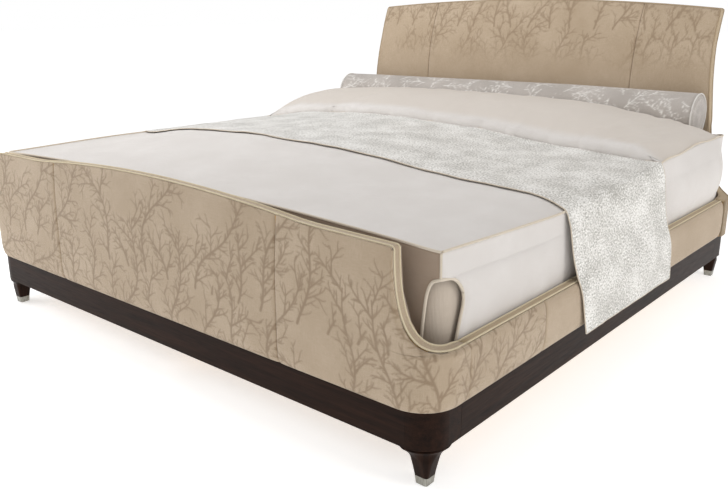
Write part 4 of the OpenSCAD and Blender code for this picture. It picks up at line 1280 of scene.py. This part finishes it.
for side, word in ((-1, "left"), (1, "right")):
    a, b = np.meshgrid(np.linspace(-1, 1, 70), np.linspace(-1, 1, 44), indexing="ij")
    half = np.sqrt(np.clip((1 - np.abs(a) ** 3.2) * (1 - np.abs(b) ** 2.6), 0, 1))
    pin = 1 - 0.06 * (a * b) ** 2
    cx_, cu = side * 0.462, 1.655
    px = cx_ + 0.425 * a * (1 - 0.035 * (1 - b**2)) * pin
    pu = cu + 0.235 * b * (1 - 0.05 * (1 - a**2)) * pin
    top_z = 0.553 + 0.078 * half
    low_z = 0.553 - 0.0012 * half + 0.0005
    pillow = shell(f"{word}_pillow_soft", *(stack(px, pu, height) for height in (top_z, low_z)))
    dress(pillow, "cotton", "pillow_cotton", "bedding", f"{word}_pillow")

# ------------------------------------------------------------------ runner
ru = np.linspace(0, 1, 90)
rows = []
for f in ru:
    u = RUNNER_U0 + f * (RUNNER_U1 - RUNNER_U0)
    left, right = float(edge_left(u)), float(edge_right(u))
    path = [(-1.0370, RUNNER_HEM), (-1.0362, 0.285), (-1.0345, 0.315), (-1.0285, 0.343), (-1.0200, 0.372),
            (-1.010, 0.43), (-0.998, left - 0.055), (-0.987, left - 0.014), (-0.978, left + 0.004)]
    xs = np.linspace(-0.958, 0.958, 120)
    path += list(zip(xs, bed_top(xs, np.full_like(xs, min(u, TUCK_U - 0.03))) + 0.0055))
    path += [(0.978, right + 0.006), (0.987, right - 0.010), (0.998, right - 0.045), (1.010, 0.42),
             (1.020, 0.370), (1.0285, 0.343), (1.0345, 0.315), (1.0362, 0.285), (1.0370, RUNNER_HEM)]
    path = np.array(path)
    seg = np.hypot(*np.diff(path, axis=0).T)
    s = np.concatenate([[0], np.cumsum(seg)])
    q = np.linspace(0, s[-1], 330)
    px, pz = np.interp(q, s, path[:, 0]), np.interp(q, s, path[:, 1])
    fall = np.clip((right + 0.0 - pz) / (right - RUNNER_HEM), 0, 1) * (px > 0.95)
    fall_l = np.clip((left - pz) / (left - RUNNER_HEM), 0, 1) * (px < -0.95)
    slant = (0.064 * (1 - f) + 0.024 * f) * (fall + fall_l) ** 1.9
    rows.append(stack(px, u + slant, pz))
rp = np.array(rows)
hang = smooth(0.965, 1.03, np.abs(rp[..., 0]))
ripple = noise(stack(rp[..., 1] / 0.11, rp[..., 2] / 0.5), 1.0, 40.0)
away = np.clip(0.0035 * (1 + ripple), 0, 0.012) * smooth(0.50, 0.20, rp[..., 2])
rp[..., 0] += np.sign(rp[..., 0]) * hang * away
across, along = rp[..., 0], rp[..., 1]
diag = noise(stack((across * 0.5 + along) / 0.05, (across - 0.5 * along) / 0.28), 1.0, 44.0)
rp[..., 2] += (1 - hang) * np.clip(0.0016 * (diag + 0.6), 0, 0.004)
runner = grid("runner_cloth", rp)
thicken(runner, 0.0024)
dress(runner, "velvet", "silver_velvet", "bedding", "runner")
ring = np.concatenate([rp[0], rp[1:, -1], rp[-1, ::-1][1:], rp[::-1, 0][1:-1]])
hem = tube("runner_hem", ring, 0.0019, sides=8, step=0.006, closed=True)
dress(hem, "cord", "silver_velvet", "bedding")

# ------------------------------------------------------------------ bolster
L = BOLSTER_X1 - BOLSTER_X0
ends = [(0.0, 0.002), (0.0005, 0.02), (0.001, 0.045), (0.0016, 0.068), (0.003, 0.082), (0.007, 0.0895),
        (0.013, 0.0925), (0.022, 0.0938)]
rings = [(a, r) for a, r in ends] + [(a, BOLSTER_R) for a in np.linspace(0.03, L - 0.03, 300)]
rings += [(L - a, r) for a, r in ends[::-1]]
ang = np.linspace(0, 2 * math.pi, 144, endpoint=False)
P = []
for a, r in rings:
    x = BOLSTER_X0 + a
    n1 = noise(stack(np.full_like(ang, x / 0.30), np.cos(ang) * 0.9, np.sin(ang) * 0.9), 1.0, 50.0)
    n2 = noise(stack(np.full_like(ang, x / 0.05), np.cos(ang) * 1.5, np.sin(ang) * 1.5), 1.0, 52.0)
    near = math.exp(-min(a, L - a) / 0.05)
    rr = r - (r / BOLSTER_R) * (0.0016 * (n1 + 1) + 0.0016 * near * (n2 + 1))
    P.append(stack(np.full_like(ang, x), BOLSTER_U + rr * np.sin(ang), bolster_z(x) + rr * np.cos(ang)))
P = np.array(P)
sx = np.array([a for a, r in rings])
su, sv = np.meshgrid(sx, ang * BOLSTER_R, indexing="ij")
cap = np.array([0.3 if r < 0.0930 else 1.0 for a, r in rings])[:, None]
bolster = grid("bolster_body", P, uv=stack(su, sv), wrap_v=True, caps=True,
               figure=BOLSTER_FIGURE.sample(su, sv) * cap)
dress(bolster, "damask", "silver_damask", "bolster_roll", "bolster")
welts = []
for x in (BOLSTER_X0 + 0.006, BOLSTER_X1 - 0.006):
    circle = [(x, BOLSTER_U + 0.0905 * math.sin(a), float(bolster_z(x)) + 0.0905 * math.cos(a))
              for a in np.linspace(0, 2 * math.pi, 72, endpoint=False)]
    welts.append(tube("welt", circle, 0.0030, sides=10, step=0.006, closed=True))
dress(join("bolster_welts", *welts), "cotton", "silver_damask", "bolster_roll")

# ------------------------------------------------------------------ parts kept from the frame
KEPT = {
    "timber_x": "footboard_core headboard_core corner_blocks slats",
    "timber_y": "left_rail_board right_rail_board left_ledger right_ledger center_beam",
    "timber_z": "center_leg_foot center_leg_middle center_leg_head",
    "wood_x": "foot_plinth head_plinth",
    "wood_y": "left_rail_plinth right_rail_plinth",
    "zinc": "beam_brackets leg_bolts leg_inserts rail_hook_plates rail_receiver_plates"
            " leveller_stud_foot leveller_stud_middle leveller_stud_head",
    "black_plastic": "leveller_pad_foot leveller_pad_middle leveller_pad_head",
}
EDGES = {
    0.0025: "foot_plinth head_plinth left_rail_plinth right_rail_plinth",
    0.002: "slats center_beam left_ledger right_ledger center_leg_foot center_leg_middle center_leg_head",
    0.001: "corner_blocks",
}


def carried(nodes):
    """The mesh objects of some CAD nodes, given as words."""
    return [ob for node in nodes.split() for ob in SCENE.objects if ob.type == "MESH"
            and (ob.name == node or ob.name.startswith(node + ".") or ob.get("node") == node)]


for mat, nodes in KEPT.items():
    for ob in carried(nodes):
        ob.data.materials.clear()
        ob.data.materials.append(MATS[mat])
for width, nodes in EDGES.items():
    for ob in carried(nodes):
        mod = ob.modifiers.new("edge", "BEVEL")
        mod.width = width
        mod.segments = 2
        mod.limit_method = "ANGLE"

# ------------------------------------------------------------------ studio
floor_mat = Mat("studio_floor")
grain = floor_mat.noise(floor_mat.coords("Object"), 3.0, 2.0)
floor_mat.colour(floor_mat.ramp(grain, [(0.3, (0.90, 0.90, 0.90, 1)), (0.7, (0.92, 0.92, 0.92, 1))]))
floor_mat.set(Roughness=0.9, Specular_IOR_Level=0.1, Emission_Color=(1, 1, 1, 1), Emission_Strength=0.55)
bpy.ops.mesh.primitive_plane_add(size=60, location=(0, 0, 0))
floor = bpy.context.object
floor.name = "studio_floor"
floor.data.materials.append(floor_mat.m)

world = bpy.data.worlds.new("studio")
SCENE.world = world
world.use_nodes = True
wt = world.node_tree
back = wt.nodes["Background"]
back.inputs[0].default_value = (1.0, 1.0, 1.0, 1)
back.inputs[1].default_value = 0.53
seen = wt.nodes.new("ShaderNodeBackground")
seen.inputs[1].default_value = 1.25
rays = wt.nodes.new("ShaderNodeLightPath")
both = wt.nodes.new("ShaderNodeMixShader")
wt.links.new(rays.outputs["Is Camera Ray"], both.inputs[0])
wt.links.new(back.outputs[0], both.inputs[1])
wt.links.new(seen.outputs[0], both.inputs[2])
wt.links.new(both.outputs[0], wt.nodes["World Output"].inputs[0])


def area_light(name, loc, target, size, power, colour=(1, 1, 1)):
    data = bpy.data.lights.new(name, "AREA")
    data.shape = "SQUARE"
    data.size = size
    data.energy = power
    data.color = colour
    ob = bpy.data.objects.new(name, data)
    SCENE.collection.objects.link(ob)
    ob.location = loc
    ob.rotation_euler = (Vector(target) - Vector(loc)).to_track_quat("-Z", "Y").to_euler()
    return ob


# name, place, aim, width in metres, watts
area_light("key", (4.9, 0.4, 3.0), (0.2, 0.1, 0.4), 2.0, 57, (1.0, 0.98, 0.95))
area_light("fill", (-3.0, -2.2, 1.5), (-0.6, 0, 0.6), 1.6, 30)
area_light("top", (-0.6, 1.0, 3.6), (0, 0.1, 0.5), 2.0, 8)
area_light("head", (-1.2, -1.0, 2.9), (0, 1.1, 1.0), 1.4, 30)

CAM_AT = (1.957, -2.4686, 1.114)
CAM_DOWN, CAM_TURN = 16.72, 40.18
cam = bpy.data.cameras.new("view")
cam.lens = 40.03
cam.sensor_width = 36
cam_ob = bpy.data.objects.new("view", cam)
SCENE.collection.objects.link(cam_ob)
cam_ob.location = CAM_AT
cam_ob.rotation_euler = (math.radians(90 - CAM_DOWN), 0, math.radians(CAM_TURN))
SCENE.camera = cam_ob
SCENE.view_settings.view_transform = "Standard"
